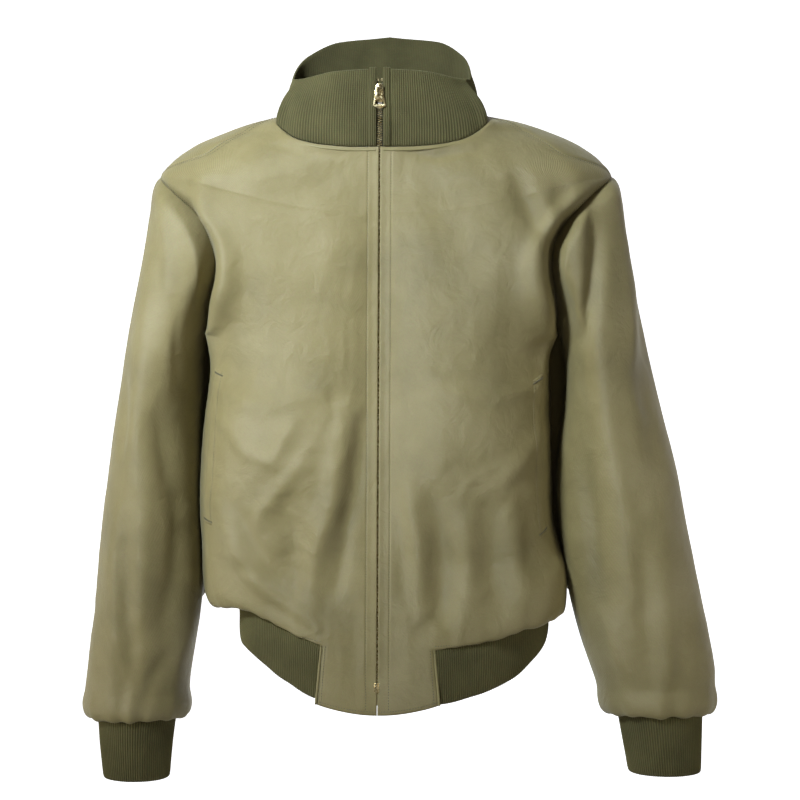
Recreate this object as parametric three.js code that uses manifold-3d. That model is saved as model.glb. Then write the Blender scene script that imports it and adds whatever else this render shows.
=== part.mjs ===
// A zip-front work jacket in cotton twill, with rib-knit collar, cuffs and hem band.
// Millimetres. +Z is up, the front faces -Y, and the wearer's left arm is on the +X side.
// The origin is where the shoulders carry the jacket, level with the side of the neck.
import * as THREE from 'three';
import Module from 'manifold-3d';
import { mergeVertices } from 'three/addons/utils/BufferGeometryUtils.js';

const wasm = await Module();
wasm.setup();

// ---- driving dimensions ----
const TWILL = 1.6;            // front edge and panel thickness, two turned layers
const LINING = 0.8;
const RIB = 2.6;              // doubled knit
const SEAM_GAP = 0.5;         // clearance between pieces that are sewn together

const ZIP_LEAN = 0.075;       // the front edge comes forward this much for each mm down
const ZIP_FRONT = 88;         // front edge's distance from the origin at z = 0
const ZIP_EDGE = 3.2;         // half the gap between the two front edges
const ZIP_TOP = 34;
const ZIP_BOTTOM = -614;

const HEM_SEAM_FRONT = -566;
const HEM_SEAM_SIDE = -521;
const HEM_GAP = 2;
const HEM_END_BOTTOM = -636;
const HEM_END_HALF = 62;      // where the twill hem ends meet the rib
const RIB_HEIGHT = 61;

const ARMPIT = -236;
const SHOULDER = -68;         // shoulder point height
const ARMHOLE_SET = 0.25;     // how far the armhole is cut in from the side, radians
const NECK_FRONT = -35;
const NECK_SIDE = 0;
const NECK_BACK = 18;

const COLLAR_TOP = { front: 52, side: 46, back: 88 };
const COLLAR_HALF = { width: 103, front: 84, back: 74 };

const SQUARE = 2.4;           // exponent of the body's cross-sections
const AROUND = 8;             // steps across a front panel, shared by every layer under it

// Body cross-sections: height, half width, half depth at the back.
const BODY = [
  [-660, 146, 100], [-594, 155, 102], [-562, 162, 106], [-530, 168, 110], [-512, 176, 114],
  [-490, 197, 121], [-455, 203, 124], [-400, 196, 121], [-300, 193, 119], [-236, 200, 116],
  [-190, 230, 110], [-142, 247, 102], [-100, 250, 95], [-68, 248, 88], [-54, 238, 84],
  [-36, 214, 79], [-24, 190, 76], [-8, 149, 70], [0, 116, 67], [20, 90, 63], [40, 85, 62],
];

// Sleeve sections: x of the centre, y of the centre, height, half width, half depth.
const SLEEVES = {
  right: [
    [-238, 4, -248, 40, 82], [-248, 6, -290, 43, 78], [-262, 0, -400, 52, 68],
    [-265, -8, -528, 57, 58], [-272, -12, -620, 56, 52], [-273, -13, -646, 49, 45],
    [-274, -14, -656, 44, 41], [-274, -14, -690, 42, 38], [-274, -14, -726, 39, 35],
  ],
  left: [
    [238, 4, -248, 40, 82], [250, 6, -290, 43, 78], [268, 0, -400, 55, 68],
    [278, -8, -528, 66, 58], [294, -12, -614, 64, 52], [298, -13, -640, 54, 45],
    [300, -14, -650, 47, 41], [304, -14, -684, 44, 38], [307, -14, -720, 42, 35],
  ],
};
const CUFF_FROM = 6;          // station of SLEEVES where the cuff begins

// ---- materials ----
const finish = (color, roughness, metalness = 0) => {
  return new THREE.MeshStandardMaterial({ color, roughness, metalness, side: THREE.DoubleSide });
};
const MATERIALS = {
  twill: finish('#98916b', 0.85),
  knit: finish('#5a5639', 0.95),
  lining: finish('#6f6a4c', 0.8),
  tape: finish('#4d4a33', 0.9),
  brass: finish('#b89a4e', 0.32, 1),
  label: finish('#2f2e26', 0.8),
};

// ---- helpers ----
const clamp01 = (t) => Math.min(1, Math.max(0, t));
const lerp = (a, b, t) => a + (b - a) * t;
const smooth = (t) => { const c = clamp01(t); return c * c * (3 - 2 * c); };

// Catmull-Rom value of one column of a table of stations at parameter t in stations.
function column(table, t, index) {
  const last = table.length - 1;
  const i = Math.min(last - 1, Math.max(0, Math.floor(t)));
  const f = clamp01(t - i);
  const at = (k) => table[Math.min(last, Math.max(0, k))][index];
  const slope = (k) => (k <= 0 || k >= last ? 0.5 : 0.25) * (at(k + 1) - at(k - 1)) * 2;
  const [a, b] = [at(i), at(i + 1)];
  const [ma, mb] = [slope(i) * 0.9, slope(i + 1) * 0.9];
  const f2 = f * f;
  const f3 = f2 * f;
  return a * (2 * f3 - 3 * f2 + 1) + ma * (f3 - 2 * f2 + f) + b * (3 * f2 - 2 * f3) + mb * (f3 - f2);
}

// Half width and back depth of the body at height z.
function bodySize(z) {
  let i = 0;
  while (i < BODY.length - 2 && z > BODY[i + 1][0]) i += 1;
  const t = clamp01((z - BODY[i][0]) / (BODY[i + 1][0] - BODY[i][0]));
  return { width: lerp(BODY[i][1], BODY[i + 1][1], t), back: lerp(BODY[i][2], BODY[i + 1][2], t) };
}

const frontDepth = (z) => ZIP_FRONT - z * ZIP_LEAN;

// A point on the body: angle 0 is the centre front, 90 degrees the +X side, 180 the back.
function bodyPoint(angle, z) {
  const { width, back } = bodySize(z);
  const s = Math.abs(Math.sin(angle)) / width;
  const c = Math.abs(Math.cos(angle)) / (Math.cos(angle) > 0 ? frontDepth(z) : back);
  const r = Math.pow(Math.pow(s, SQUARE) + Math.pow(c, SQUARE), -1 / SQUARE);
  return new THREE.Vector3(r * Math.sin(angle), -r * Math.cos(angle), z);
}

// A closed solid: surface(u, v) for u, v in 0..1 is its outer face, and the other face is
// set back by the thickness. Layers nearer the wearer start at a depth below the surface.
function shell(surface, uSteps, vSteps, thickness, depth = 0, ring = false) {
  const eps = 1e-3;
  const positions = [];
  const place = (u, v, offset) => {
    const p = surface(u, v);
    const du = surface(Math.min(1, u + eps), v).sub(surface(Math.max(0, u - eps), v));
    const dv = surface(u, Math.min(1, v + eps)).sub(surface(u, Math.max(0, v - eps)));
    const normal = du.cross(dv).normalize();
    return p.addScaledVector(normal, -offset);
  };
  const uCount = ring ? uSteps : uSteps + 1;
  for (const offset of [depth, depth + thickness]) {
    for (let j = 0; j <= vSteps; j += 1) {
      for (let i = 0; i < uCount; i += 1) positions.push(place(i / uSteps, j / vSteps, offset));
    }
  }
  const layer = uCount * (vSteps + 1);
  const id = (i, j, k) => k * layer + j * uCount + (ring ? i % uSteps : i);
  const faces = [];
  // The diagonals on the two sides of the jacket mirror each other.
  const quad = (a, b, c, d) => {
    if (positions[a].x + positions[c].x > 0) faces.push(b, c, d, b, d, a);
    else faces.push(a, b, c, a, c, d);
  };
  for (let j = 0; j < vSteps; j += 1) {
    for (let i = 0; i < uSteps; i += 1) {
      quad(id(i, j, 0), id(i + 1, j, 0), id(i + 1, j + 1, 0), id(i, j + 1, 0));
      quad(id(i, j, 1), id(i, j + 1, 1), id(i + 1, j + 1, 1), id(i + 1, j, 1));
    }
  }
  for (let i = 0; i < uSteps; i += 1) {
    quad(id(i, 0, 1), id(i + 1, 0, 1), id(i + 1, 0, 0), id(i, 0, 0));
    quad(id(i, vSteps, 0), id(i + 1, vSteps, 0), id(i + 1, vSteps, 1), id(i, vSteps, 1));
  }
  for (let j = 0; j < vSteps && !ring; j += 1) {
    quad(id(0, j, 0), id(0, j + 1, 0), id(0, j + 1, 1), id(0, j, 1));
    quad(id(uSteps, j, 1), id(uSteps, j + 1, 1), id(uSteps, j + 1, 0), id(uSteps, j, 0));
  }
  const geometry = new THREE.BufferGeometry();
  geometry.setAttribute('position', new THREE.Float32BufferAttribute(positions.flatMap((p) => p.toArray()), 3));
  geometry.setIndex(faces);
  geometry.computeVertexNormals();
  return geometry;
}

const jacket = new THREE.Group();

function add(name, geometry, material) {
  const mesh = new THREE.Mesh(geometry, material);
  mesh.name = name;
  jacket.add(mesh);
  return mesh;
}

function toManifold(geometry) {
  const bare = geometry.index ? geometry.toNonIndexed() : geometry.clone();
  bare.deleteAttribute('normal');
  bare.deleteAttribute('uv');
  const merged = mergeVertices(bare, 1e-4);
  return new wasm.Manifold(new wasm.Mesh({
    numProp: 3,
    vertProperties: merged.attributes.position.array,
    triVerts: new Uint32Array(merged.index.array),
  }));
}

function fromManifold(solid) {
  const mesh = solid.getMesh();
  const geometry = new THREE.BufferGeometry();
  geometry.setAttribute('position', new THREE.BufferAttribute(mesh.vertProperties, 3));
  geometry.setIndex(new THREE.BufferAttribute(mesh.triVerts, 1));
  geometry.computeVertexNormals();
  return geometry;
}

const box = (w, d, h, x = 0, y = 0, z = 0) => new THREE.BoxGeometry(w, d, h).translate(x, y, z);

// ---- body ----
// Heights of the rows of a panel along the side: up the side seam, the armhole and the shoulder.
const SIDE_ROWS = [
  HEM_SEAM_SIDE, -490, -455, -400, -350, -300, -262, ARMPIT, -210, -180, -142, -110, -85, SHOULDER,
  -54, -36, -22, -8, NECK_SIDE,
];

const rowHeight = (v) => {
  const t = v * (SIDE_ROWS.length - 1);
  const i = Math.min(SIDE_ROWS.length - 2, Math.floor(t));
  return lerp(SIDE_ROWS[i], SIDE_ROWS[i + 1], t - i);
};

// How far the armhole edge is cut in from the side at a height, as an angle.
function armholeCut(z) {
  if (z <= ARMPIT || z >= SHOULDER) return 0;
  return ARMHOLE_SET * Math.pow(Math.sin(Math.PI * (z - ARMPIT) / (SHOULDER - ARMPIT)), 0.6);
}

const edgeAngle = (x, z) => Math.atan(x / frontDepth(z));
const seamTrim = (z) => SEAM_GAP / 2 / bodySize(z).width;

// One front panel, from the front edge out to the side seam, armhole and shoulder seam.
const frontPanel = (side, trim = 0) => (u, v) => {
  const sideZ = rowHeight(v);
  const up = (sideZ - HEM_SEAM_SIDE) / (NECK_SIDE - HEM_SEAM_SIDE);
  const frontZ = lerp(HEM_SEAM_FRONT, NECK_FRONT, up);
  const z = lerp(frontZ, sideZ, u * u);
  const last = Math.PI / 2 - seamTrim(sideZ) - armholeCut(sideZ) - trim;
  return bodyPoint(side * lerp(edgeAngle(ZIP_EDGE, z), last, u), z);
};

// The back, in one piece from side seam to side seam.
const backPanel = (trim = 0) => (u, v) => {
  const sideZ = rowHeight(v);
  const up = (sideZ - HEM_SEAM_SIDE) / (NECK_SIDE - HEM_SEAM_SIDE);
  const middle = 1 - Math.pow(2 * u - 1, 2);
  const z = sideZ + middle * up * (NECK_BACK - NECK_SIDE);
  const half = Math.PI / 2 - seamTrim(sideZ) - armholeCut(sideZ) - trim;
  return bodyPoint(Math.PI + half * (1 - 2 * u) * -1, z);
};

// The part of a panel between whole steps of its grid, so that a layer under it never crosses it.
const BODY_ROWS = SIDE_ROWS.length - 1;
const patch = (surface, steps, u0, u1, v0, v1) => (u, v) => {
  return surface(lerp(u0, u1, u) / steps, lerp(v0, v1, v) / BODY_ROWS);
};

const flipU = (surface) => (u, v) => surface(1 - u, v);
const outwards = (side, surface) => (side > 0 ? surface : flipU(surface));

// The waist rib follows the body's outline below the hem seam, round the sides and the back.
const seamHeight = (angle) => {
  const turn = clamp01(Math.min(angle, 2 * Math.PI - angle) / (Math.PI / 2));
  return lerp(HEM_SEAM_FRONT, HEM_SEAM_SIDE, turn * turn);
};
const hemRib = (u, v) => {
  const first = edgeAngle(HEM_END_HALF + SEAM_GAP, HEM_SEAM_FRONT);
  const angle = lerp(first, 2 * Math.PI - first, u);
  const top = seamHeight(angle) - HEM_GAP;
  return bodyPoint(angle, lerp(top - RIB_HEIGHT, top, v));
};
// Beside the zip the front panel runs on down past the rib to the hem.
const hemEnd = (side) => (u, v) => {
  const z = lerp(HEM_END_BOTTOM + 9 * u * u, HEM_SEAM_FRONT + 4 + 3.2 * u * u, v);
  return bodyPoint(side * lerp(edgeAngle(ZIP_EDGE, z), edgeAngle(HEM_END_HALF, z), u), z);
};

// ---- collar ----
const neckHeight = (angle) => {
  const c = Math.cos(angle);
  return c > 0 ? NECK_FRONT * Math.pow(c, 1.6) : NECK_BACK * Math.pow(-c, 1.2);
};
const collarTop = (angle) => {
  const c = Math.cos(angle);
  const { front, side, back } = COLLAR_TOP;
  return c > 0 ? lerp(side, front, c * c) : lerp(side, back, Math.pow(-c, 0.9));
};
function collarPoint(angle, t) {
  const low = bodyPoint(angle, neckHeight(angle) + 2.2);
  const z = collarTop(angle);
  const s = Math.abs(Math.sin(angle)) / COLLAR_HALF.width;
  const c = Math.abs(Math.cos(angle)) / (Math.cos(angle) > 0 ? COLLAR_HALF.front : COLLAR_HALF.back);
  const r = Math.pow(Math.pow(s, 2.3) + Math.pow(c, 2.3), -1 / 2.3);
  const high = new THREE.Vector3(r * Math.sin(angle), -r * Math.cos(angle), z);
  const p = low.lerp(high, t);
  const swell = 5 * Math.sin(Math.PI * t) * Math.pow(Math.abs(Math.sin(angle)), 2);
  p.x += swell * Math.sign(Math.sin(angle));
  return p;
}
const STRIP = 12;             // width of the knit strip beside the zip
const collar = (u, v) => {
  const first = edgeAngle(STRIP + 1.2, 20);
  return collarPoint(lerp(first, 2 * Math.PI - first, u), v);
};
const collarStrip = (side) => (u, v) => {
  const edge = ZIP_EDGE + 0.6;
  return collarPoint(side * lerp(edgeAngle(edge, 20), edgeAngle(STRIP, 20), u), v);
};

// ---- sleeves ----
const sleeveCentre = (name, t, index) => column(SLEEVES[name], t, index);

function sleeveRing(name, angle, t) {
  const side = name === 'left' ? 1 : -1;
  const centre = new THREE.Vector3(sleeveCentre(name, t, 0), sleeveCentre(name, t, 1), sleeveCentre(name, t, 2));
  const across = sleeveCentre(name, t, 3) * Math.cos(angle) * side;
  const fore = -sleeveCentre(name, t, 4) * Math.sin(angle);
  return centre.add(new THREE.Vector3(across, fore, 0));
}

// The armhole's outline: angle 0 is the shoulder point, 90 degrees the front, 180 the armpit.
function armholePoint(side, angle) {
  const z = lerp(ARMPIT, SHOULDER, (1 + Math.cos(angle)) / 2);
  const cut = armholeCut(z);
  const around = angle <= Math.PI ? Math.PI / 2 - cut : Math.PI / 2 + cut;
  const p = bodyPoint(side * around, z);
  p.x += side * 2.2;
  return p;
}

const CAP = 1.7;              // stations over which the armhole's outline turns into the tube
function sleevePoint(name, angle, t) {
  const side = name === 'left' ? 1 : -1;
  const tube = sleeveRing(name, angle, t);
  return armholePoint(side, angle).lerp(tube, smooth(t / CAP));
}
const sleeve = (name, from, to) => (u, v) => {
  const turn = (name === 'left' ? 1 - u : u) * 2 * Math.PI;
  return sleevePoint(name, turn, lerp(to, from, v));
};

// ---- inside pieces on the body ----
const LINING_TRIM = 0.012;    // angle left out of each lining beside the side seam
const FACING_IN = TWILL + 2.8;
const LINING_IN = TWILL + 4.8;
const POCKET_IN = TWILL + 0.7;
const facing = (side) => (u, v) => {
  const z = lerp(-540, -48, v);
  return bodyPoint(side * edgeAngle(lerp(7, 34, u), z), z);
};

for (const [name, side] of [['right', -1], ['left', 1]]) {
  const panel = frontPanel(side);
  const layer = (u0, u1, v0, v1) => outwards(side, patch(panel, AROUND, u0, u1, v0, v1));
  const lined = frontPanel(side, LINING_TRIM);
  const liningLayer = (u0, u1, v0, v1) => outwards(side, patch(lined, AROUND, u0, u1, v0, v1));
  const upper = toManifold(shell(outwards(side, panel), AROUND, BODY_ROWS, TWILL));
  const lower = toManifold(shell(outwards(side, hemEnd(side)), 3, 3, TWILL));
  add(`front_panel_${name}`, fromManifold(upper.add(lower)), MATERIALS.twill);
  add(`front_facing_${name}`, shell(outwards(side, facing(side)), 2, 8, LINING, FACING_IN), MATERIALS.twill);
  add(`lining_front_${name}`, shell(
    liningLayer(2, AROUND, 1, BODY_ROWS - 1), AROUND - 2, BODY_ROWS - 2, LINING, LINING_IN), MATERIALS.lining);
  add(`pocket_bag_${name}`, shell(layer(3, 7, 1, 4), 4, 3, 1.2, POCKET_IN), MATERIALS.lining);
  add(`pocket_welt_${name}`, shell(layer(6.4, 7, 2, 6), 1, 4, 1.4, -1.9), MATERIALS.twill);
}
add('back_panel', shell(backPanel(), AROUND * 2, BODY_ROWS, TWILL), MATERIALS.twill);
add('lining_back', shell(
  patch(backPanel(LINING_TRIM), AROUND * 2, 0, AROUND * 2, 1, BODY_ROWS - 2), AROUND * 2, BODY_ROWS - 3, LINING, LINING_IN),
MATERIALS.lining);
add('hem_rib', shell(hemRib, AROUND * 4, 3, RIB), MATERIALS.knit);
add('collar_rib', shell(collar, AROUND * 4, 4, RIB), MATERIALS.knit);

for (const [name, side] of [['right', -1], ['left', 1]]) {
  add(`collar_strip_${name}`, shell(outwards(side, collarStrip(side)), 1, 4, TWILL), MATERIALS.knit);
  add(`sleeve_${name}`, shell(sleeve(name, 0, CUFF_FROM - 0.1), 20, 12, TWILL, 0, true), MATERIALS.twill);
  add(`lining_sleeve_${name}`, shell(sleeve(name, 1, CUFF_FROM - 0.3), 20, 10, LINING, TWILL + 2.4, true), MATERIALS.lining);
  add(`cuff_rib_${name}`, shell(
    sleeve(name, CUFF_FROM + 0.05, SLEEVES[name].length - 1), 20, 3, RIB, 0, true), MATERIALS.knit);
}

// ---- zip ----
// Everything on the zip is drawn on a vertical line and then laid back onto the front edge.
const zipFrame = new THREE.Group();
zipFrame.rotation.x = -Math.atan(ZIP_LEAN);
zipFrame.position.y = -ZIP_FRONT;
jacket.add(zipFrame);
const LEAN_LENGTH = Math.hypot(1, ZIP_LEAN);

function addToZip(name, geometry, material) {
  const mesh = new THREE.Mesh(geometry, material);
  mesh.name = name;
  zipFrame.add(mesh);
}

const TOOTH_IN = 0.75;        // half the slot between the tooth rows
const TOOTH_OUT = 2.9;
const TOOTH_PITCH = 16;       // each block of this comb stands for a run of small teeth
const TAPE_OUT = 12.5;
const TOOTH_MID = 1.4;        // middle of the teeth, behind the front edge's face

function toothRow(side) {
  const low = ZIP_BOTTOM * LEAN_LENGTH + 14;
  const high = ZIP_TOP * LEAN_LENGTH - 4;
  const width = TOOTH_OUT - TOOTH_IN;
  const cord = box(1.0, 1.4, high - low, side * (TOOTH_OUT - 0.5), TOOTH_MID, (low + high) / 2);
  let row = toManifold(cord);
  const count = Math.floor((high - low) / TOOTH_PITCH);
  for (let i = 0; i < count; i += 1) {
    const z = low + (i + 0.5) * TOOTH_PITCH;
    const tooth = box(width, 2.6, TOOTH_PITCH * 0.55, side * (TOOTH_IN + width / 2), TOOTH_MID, z);
    row = row.add(toManifold(tooth));
  }
  return fromManifold(row);
}

for (const [name, side] of [['right', -1], ['left', 1]]) {
  const [low, high] = [ZIP_BOTTOM * LEAN_LENGTH, ZIP_TOP * LEAN_LENGTH];
  const tape = box(TAPE_OUT - 2, 0.6, high - low, side * (TAPE_OUT + 2) / 2, TOOTH_MID + 1.9, (low + high) / 2);
  addToZip(`zip_tape_${name}`, tape, MATERIALS.tape);
  addToZip(`zip_teeth_${name}`, toothRow(side), MATERIALS.brass);
  const stop = box(1.8, 2.4, 3, side * (TOOTH_IN + 1.1), TOOTH_MID, high - 1.6);
  addToZip(`zip_top_stop_${name}`, stop, MATERIALS.brass);
}
const BOX_TOP = ZIP_BOTTOM * LEAN_LENGTH + 12.5;
addToZip('zip_retainer_box', box(5.4, 3, 11, -0.3, TOOTH_MID - 0.6, BOX_TOP - 5.5), MATERIALS.brass);
addToZip('zip_insertion_pin', box(0.9, 1, 1.2, -2.4, TOOTH_MID - 0.6, BOX_TOP + 0.9), MATERIALS.brass);

// The slider: two plates joined by a wedge between the tooth rows, with a bridge for the pull.
const SLIDER = { width: 9.6, height: 20, plate: 1.5, channel: 4.6, z: ZIP_TOP * LEAN_LENGTH - 15.5 };
const SLIDER_FACE = TOOTH_MID - SLIDER.channel / 2 - 0.05;
const BRIDGE_Z = SLIDER.z + 5.5;

function plateOutline(width, height) {
  const shape = new THREE.Shape();
  const [w, h] = [width / 2, height / 2];
  shape.moveTo(-w * 0.62, -h);
  shape.lineTo(w * 0.62, -h);
  shape.lineTo(w, h * 0.35);
  shape.quadraticCurveTo(w, h, 0, h);
  shape.quadraticCurveTo(-w, h, -w, h * 0.35);
  shape.closePath();
  return shape;
}

// Extrudes an outline drawn in X and Z by a thickness along Y, starting at a depth.
function slab(shape, thickness, y, z, curveSegments = 6) {
  const geometry = new THREE.ExtrudeGeometry(shape, { depth: thickness, bevelEnabled: false, curveSegments });
  return geometry.rotateX(Math.PI / 2).translate(0, y + thickness, z);
}

function sliderGeometry() {
  const outline = plateOutline(SLIDER.width, SLIDER.height);
  const front = toManifold(slab(outline, SLIDER.plate, SLIDER_FACE - SLIDER.plate, SLIDER.z));
  const back = toManifold(slab(outline, SLIDER.plate, SLIDER_FACE + SLIDER.channel, SLIDER.z));
  const wedge = toManifold(box(0.8, SLIDER.channel + 1, 5, 0, SLIDER_FACE + SLIDER.channel / 2, SLIDER.z + 6));
  const arch = new THREE.Shape();
  arch.moveTo(0, -8.5);
  arch.lineTo(2.2, -7.5);
  arch.absarc(3.2, 0, 2.4, -Math.PI / 2, Math.PI / 2, false);
  arch.lineTo(0, 3.6);
  arch.closePath();
  const eye = new THREE.Path();
  eye.absarc(2.6, 0, 1.55, 0, 2 * Math.PI, true);
  arch.holes.push(eye);
  const bridgeShape = new THREE.ExtrudeGeometry(arch, { depth: 2.4, bevelEnabled: false, curveSegments: 8 });
  bridgeShape.rotateX(Math.PI / 2).rotateZ(-Math.PI / 2);
  bridgeShape.translate(1.2, SLIDER_FACE - SLIDER.plate + 0.2, BRIDGE_Z);
  return fromManifold(front.add(back).add(wedge).add(toManifold(bridgeShape)));
}
addToZip('zip_slider', sliderGeometry(), MATERIALS.brass);

// The pull tab: a flared plate with a slot that straddles the bridge and a hole near the tip.
const PULL = { top: 9.2, bottom: 14.2, length: 23, thick: 1.3 };
function pullGeometry() {
  const shape = new THREE.Shape();
  shape.moveTo(-PULL.top / 2, 1.1);
  shape.lineTo(-PULL.top / 2, -8);
  shape.lineTo(-PULL.bottom / 2, -PULL.length + 3);
  shape.lineTo(0, -PULL.length);
  shape.lineTo(PULL.bottom / 2, -PULL.length + 3);
  shape.lineTo(PULL.top / 2, -8);
  shape.lineTo(PULL.top / 2, 1.1);
  shape.closePath();
  const slot = new THREE.Path();
  slot.moveTo(-1.8, -0.8);
  slot.lineTo(1.8, -0.8);
  slot.lineTo(1.8, -9.8);
  slot.lineTo(-1.8, -9.8);
  slot.closePath();
  const hole = new THREE.Path();
  hole.moveTo(-4.9, -18.6);
  hole.quadraticCurveTo(-4.6, -12.8, 0, -12.8);
  hole.quadraticCurveTo(4.6, -12.8, 4.9, -18.6);
  hole.closePath();
  shape.holes.push(slot, hole);
  return slab(shape, PULL.thick, SLIDER_FACE - SLIDER.plate + 0.2 - 2.6 - PULL.thick / 2, BRIDGE_Z);
}
addToZip('zip_pull', pullGeometry(), MATERIALS.brass);

// ---- inside the back neck ----
// The hanger loop is a flat ribbon held clear of the back by its two folded ends.
const LOOP = { length: 64, height: 6, thick: 1, stand: 10.2, end: 6 };
function hangerLoop() {
  let ribbon = toManifold(box(LOOP.length, LOOP.thick, LOOP.height));
  for (const side of [-1, 1]) {
    const x = side * (LOOP.length - LOOP.end) / 2;
    const end = box(LOOP.end, LOOP.stand, LOOP.height, x, (LOOP.stand - LOOP.thick) / 2, 0);
    ribbon = ribbon.add(toManifold(end));
  }
  return fromManifold(ribbon);
}
const loop = add('hanger_loop', hangerLoop(), MATERIALS.tape);
loop.position.set(0, 52, 4);
const label = add('neck_label', box(56, 0.7, 34), MATERIALS.label);
label.position.set(0, 69.8, -40);
label.rotation.x = 0.28;

export default jacket;
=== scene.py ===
import math

import bmesh
import bpy
import numpy as np
from mathutils import Matrix, Vector


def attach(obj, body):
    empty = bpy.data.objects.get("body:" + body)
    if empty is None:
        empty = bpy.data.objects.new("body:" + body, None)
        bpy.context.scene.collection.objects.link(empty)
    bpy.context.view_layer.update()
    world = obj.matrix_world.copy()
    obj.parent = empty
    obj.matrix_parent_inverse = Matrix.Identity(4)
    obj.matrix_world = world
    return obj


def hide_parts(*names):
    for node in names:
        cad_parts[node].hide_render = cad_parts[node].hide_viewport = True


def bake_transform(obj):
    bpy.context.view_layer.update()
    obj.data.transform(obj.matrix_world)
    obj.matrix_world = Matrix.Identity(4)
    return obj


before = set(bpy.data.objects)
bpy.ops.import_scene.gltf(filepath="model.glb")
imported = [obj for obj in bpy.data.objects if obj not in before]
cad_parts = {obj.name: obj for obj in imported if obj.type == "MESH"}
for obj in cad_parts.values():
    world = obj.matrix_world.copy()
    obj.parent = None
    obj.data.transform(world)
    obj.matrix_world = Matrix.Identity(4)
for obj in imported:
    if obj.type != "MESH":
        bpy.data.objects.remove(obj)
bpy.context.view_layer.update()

MM = 0.001
BODY_PART = "jacket_body"

# ---------------------------------------------------------------- driving sizes, in millimetres
ZIP_LEAN = 0.075          # the front edge comes forward this much for each mm down
ZIP_FRONT = 88            # front edge's distance from the origin at z = 0
ZIP_EDGE = 3.2            # half the gap between the collar strips
ZIP_EDGE_LOW = 0.8        # the same below the collar, where the zip is shut
HEM_SEAM_SIDE = -518      # the waist seam's height at the side seams
HEM_END_BOTTOM = -636
HEM_END_HALF = 61         # where the rib takes over from the twill beside the zip
HEM_ROWS = 14             # grid rows from the hem up to the waist seam's height
BALLOON = 36              # height of cloth above the waist seam that blouses over it
DIP_TURNS = (26, 45, 60, 72, 82, 100, 180)      # degrees from the front
DIPS = (0, 4, 8, 20, 27, 27, 16)                # how far the blousing hangs below the seam there
RIB_HEIGHT = 61
ARMPIT = -236
SHOULDER = -68
ARMHOLE_FRONT = 0.36      # how far the armhole is cut in from the side, radians
ARMHOLE_BACK = 0.25
SEAM_FORWARD = 0.23       # how far the shoulder seam lies ahead of the ridge, radians
NECK_TURNS = (0, 17, 30, 42, 54, 62, 68, 77, 90, 110, 140, 180)
NECK_HEIGHTS = (-38, -38, -36, -31, -20, -9, -3, 0, 2, 5, 12, 17)
COLLAR_TURNS = (0, 30, 60, 80, 95, 115, 140, 180)     # degrees from the front
COLLAR_TOPS = (45, 43, 37, 38, 47, 67, 84, 90)        # height of its top edge there
COLLAR_HALF = {"right": 101, "left": 93, "front": 85, "back": 74}
COLLAR_SQUARE = 2.3
BODY_ROUND = 150          # mean radii, which turn an angle into a distance round the cloth
SLEEVE_ROUND = 62
SQUARE = 2.4              # exponent of the body's cross-sections
SQUARE_HEIGHTS = (-120, -68, -40, -20, 0, 20)
SQUARES = (2.4, 2.2, 1.8, 1.6, 2.1, 2.3)     # the same over the shoulders
TWILL = 1.2               # cloth thickness as sewn
KNIT = 2.4                # doubled rib knit
LINING = 0.6
RIB_PITCH = 2.6           # one rib and one groove of the knit
RIB_COLUMNS = 4           # grid columns across them
STITCH = 2.9              # one stitch and the gap after it
CAP = 1.7                 # sleeve stations over which the armhole turns into the tube
REST = 46                 # how far the inner back of a sleeve presses in towards the body
CUFF_FROM = 6             # sleeve station where the cuff begins
BODY_SEED = 3
SLEEVE_SEEDS = {"right": 50, "left": 90}

# Body sections: height, half width on the wearer's right, on the left, half depth at the back.
BODY = np.array([
    (-700, 196, 203, 124), (-545, 196, 203, 124), (-521, 200, 207, 125), (-495, 202, 203, 125),
    (-474, 202, 193, 124), (-430, 204, 184, 121), (-383, 203, 181, 120), (-328, 199, 178, 119),
    (-263, 190, 178, 117), (-236, 194, 188, 116), (-190, 222, 220, 111), (-142, 244, 243, 103),
    (-100, 249, 249, 95), (-68, 246, 246, 88), (-54, 237, 237, 84), (-36, 214, 214, 79),
    (-24, 189, 189, 76), (-8, 142, 140, 70), (0, 103, 99, 67), (4, 98, 94, 66), (20, 90, 88, 63),
    (40, 85, 85, 62),
], float)

# The waist rib's sections, and the waist seam's height by degrees round from the front.
HEM = np.array([
    (-650, 140, 154, 98), (-610, 151, 166, 101), (-585, 158, 174, 104), (-563, 161, 179, 107),
    (-540, 161, 180, 109), (-515, 163, 182, 111), (-490, 168, 187, 113),
], float)
SEAM_TURNS = (-180, -90, -75, -61, -43.5, -26, 0, 26, 43, 61, 75, 90, 180)
SEAM_HEIGHTS = (-518, -518, -520, -528, -548, -563, -567, -567, -561, -547, -530, -518, -518)

# Sleeve stations: x of the centre, y of the centre, height, half width, half depth.
SLEEVES = {
    "right": np.array([
        (-240, 4, -248, 38, 82), (-251, 6, -290, 44, 78), (-257, 0, -400, 51, 68),
        (-263, -8, -528, 57, 58), (-275, -12, -624, 57, 53), (-276, -13, -652, 52, 48),
        (-276, -14, -661, 44, 41), (-277, -14, -696, 40, 38), (-277, -14, -732, 37, 34),
    ], float),
    "left": np.array([
        (240, 4, -248, 38, 82), (247, 6, -290, 47, 78), (255, 0, -400, 67, 68),
        (276, -8, -528, 70, 58), (297, -12, -614, 64, 53), (301, -13, -640, 55, 48),
        (302, -14, -649, 47, 41), (305, -14, -684, 43, 38), (308, -14, -718, 40, 34),
    ], float),
}
SIDES = (("right", -1), ("left", 1))
SIGN = dict(SIDES)


# ---------------------------------------------------------------- curves and noise
def smooth(t):
    t = np.clip(t, 0, 1)
    return t * t * (3 - 2 * t)


def mix(a, b, t):
    return a + (b - a) * t


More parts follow.
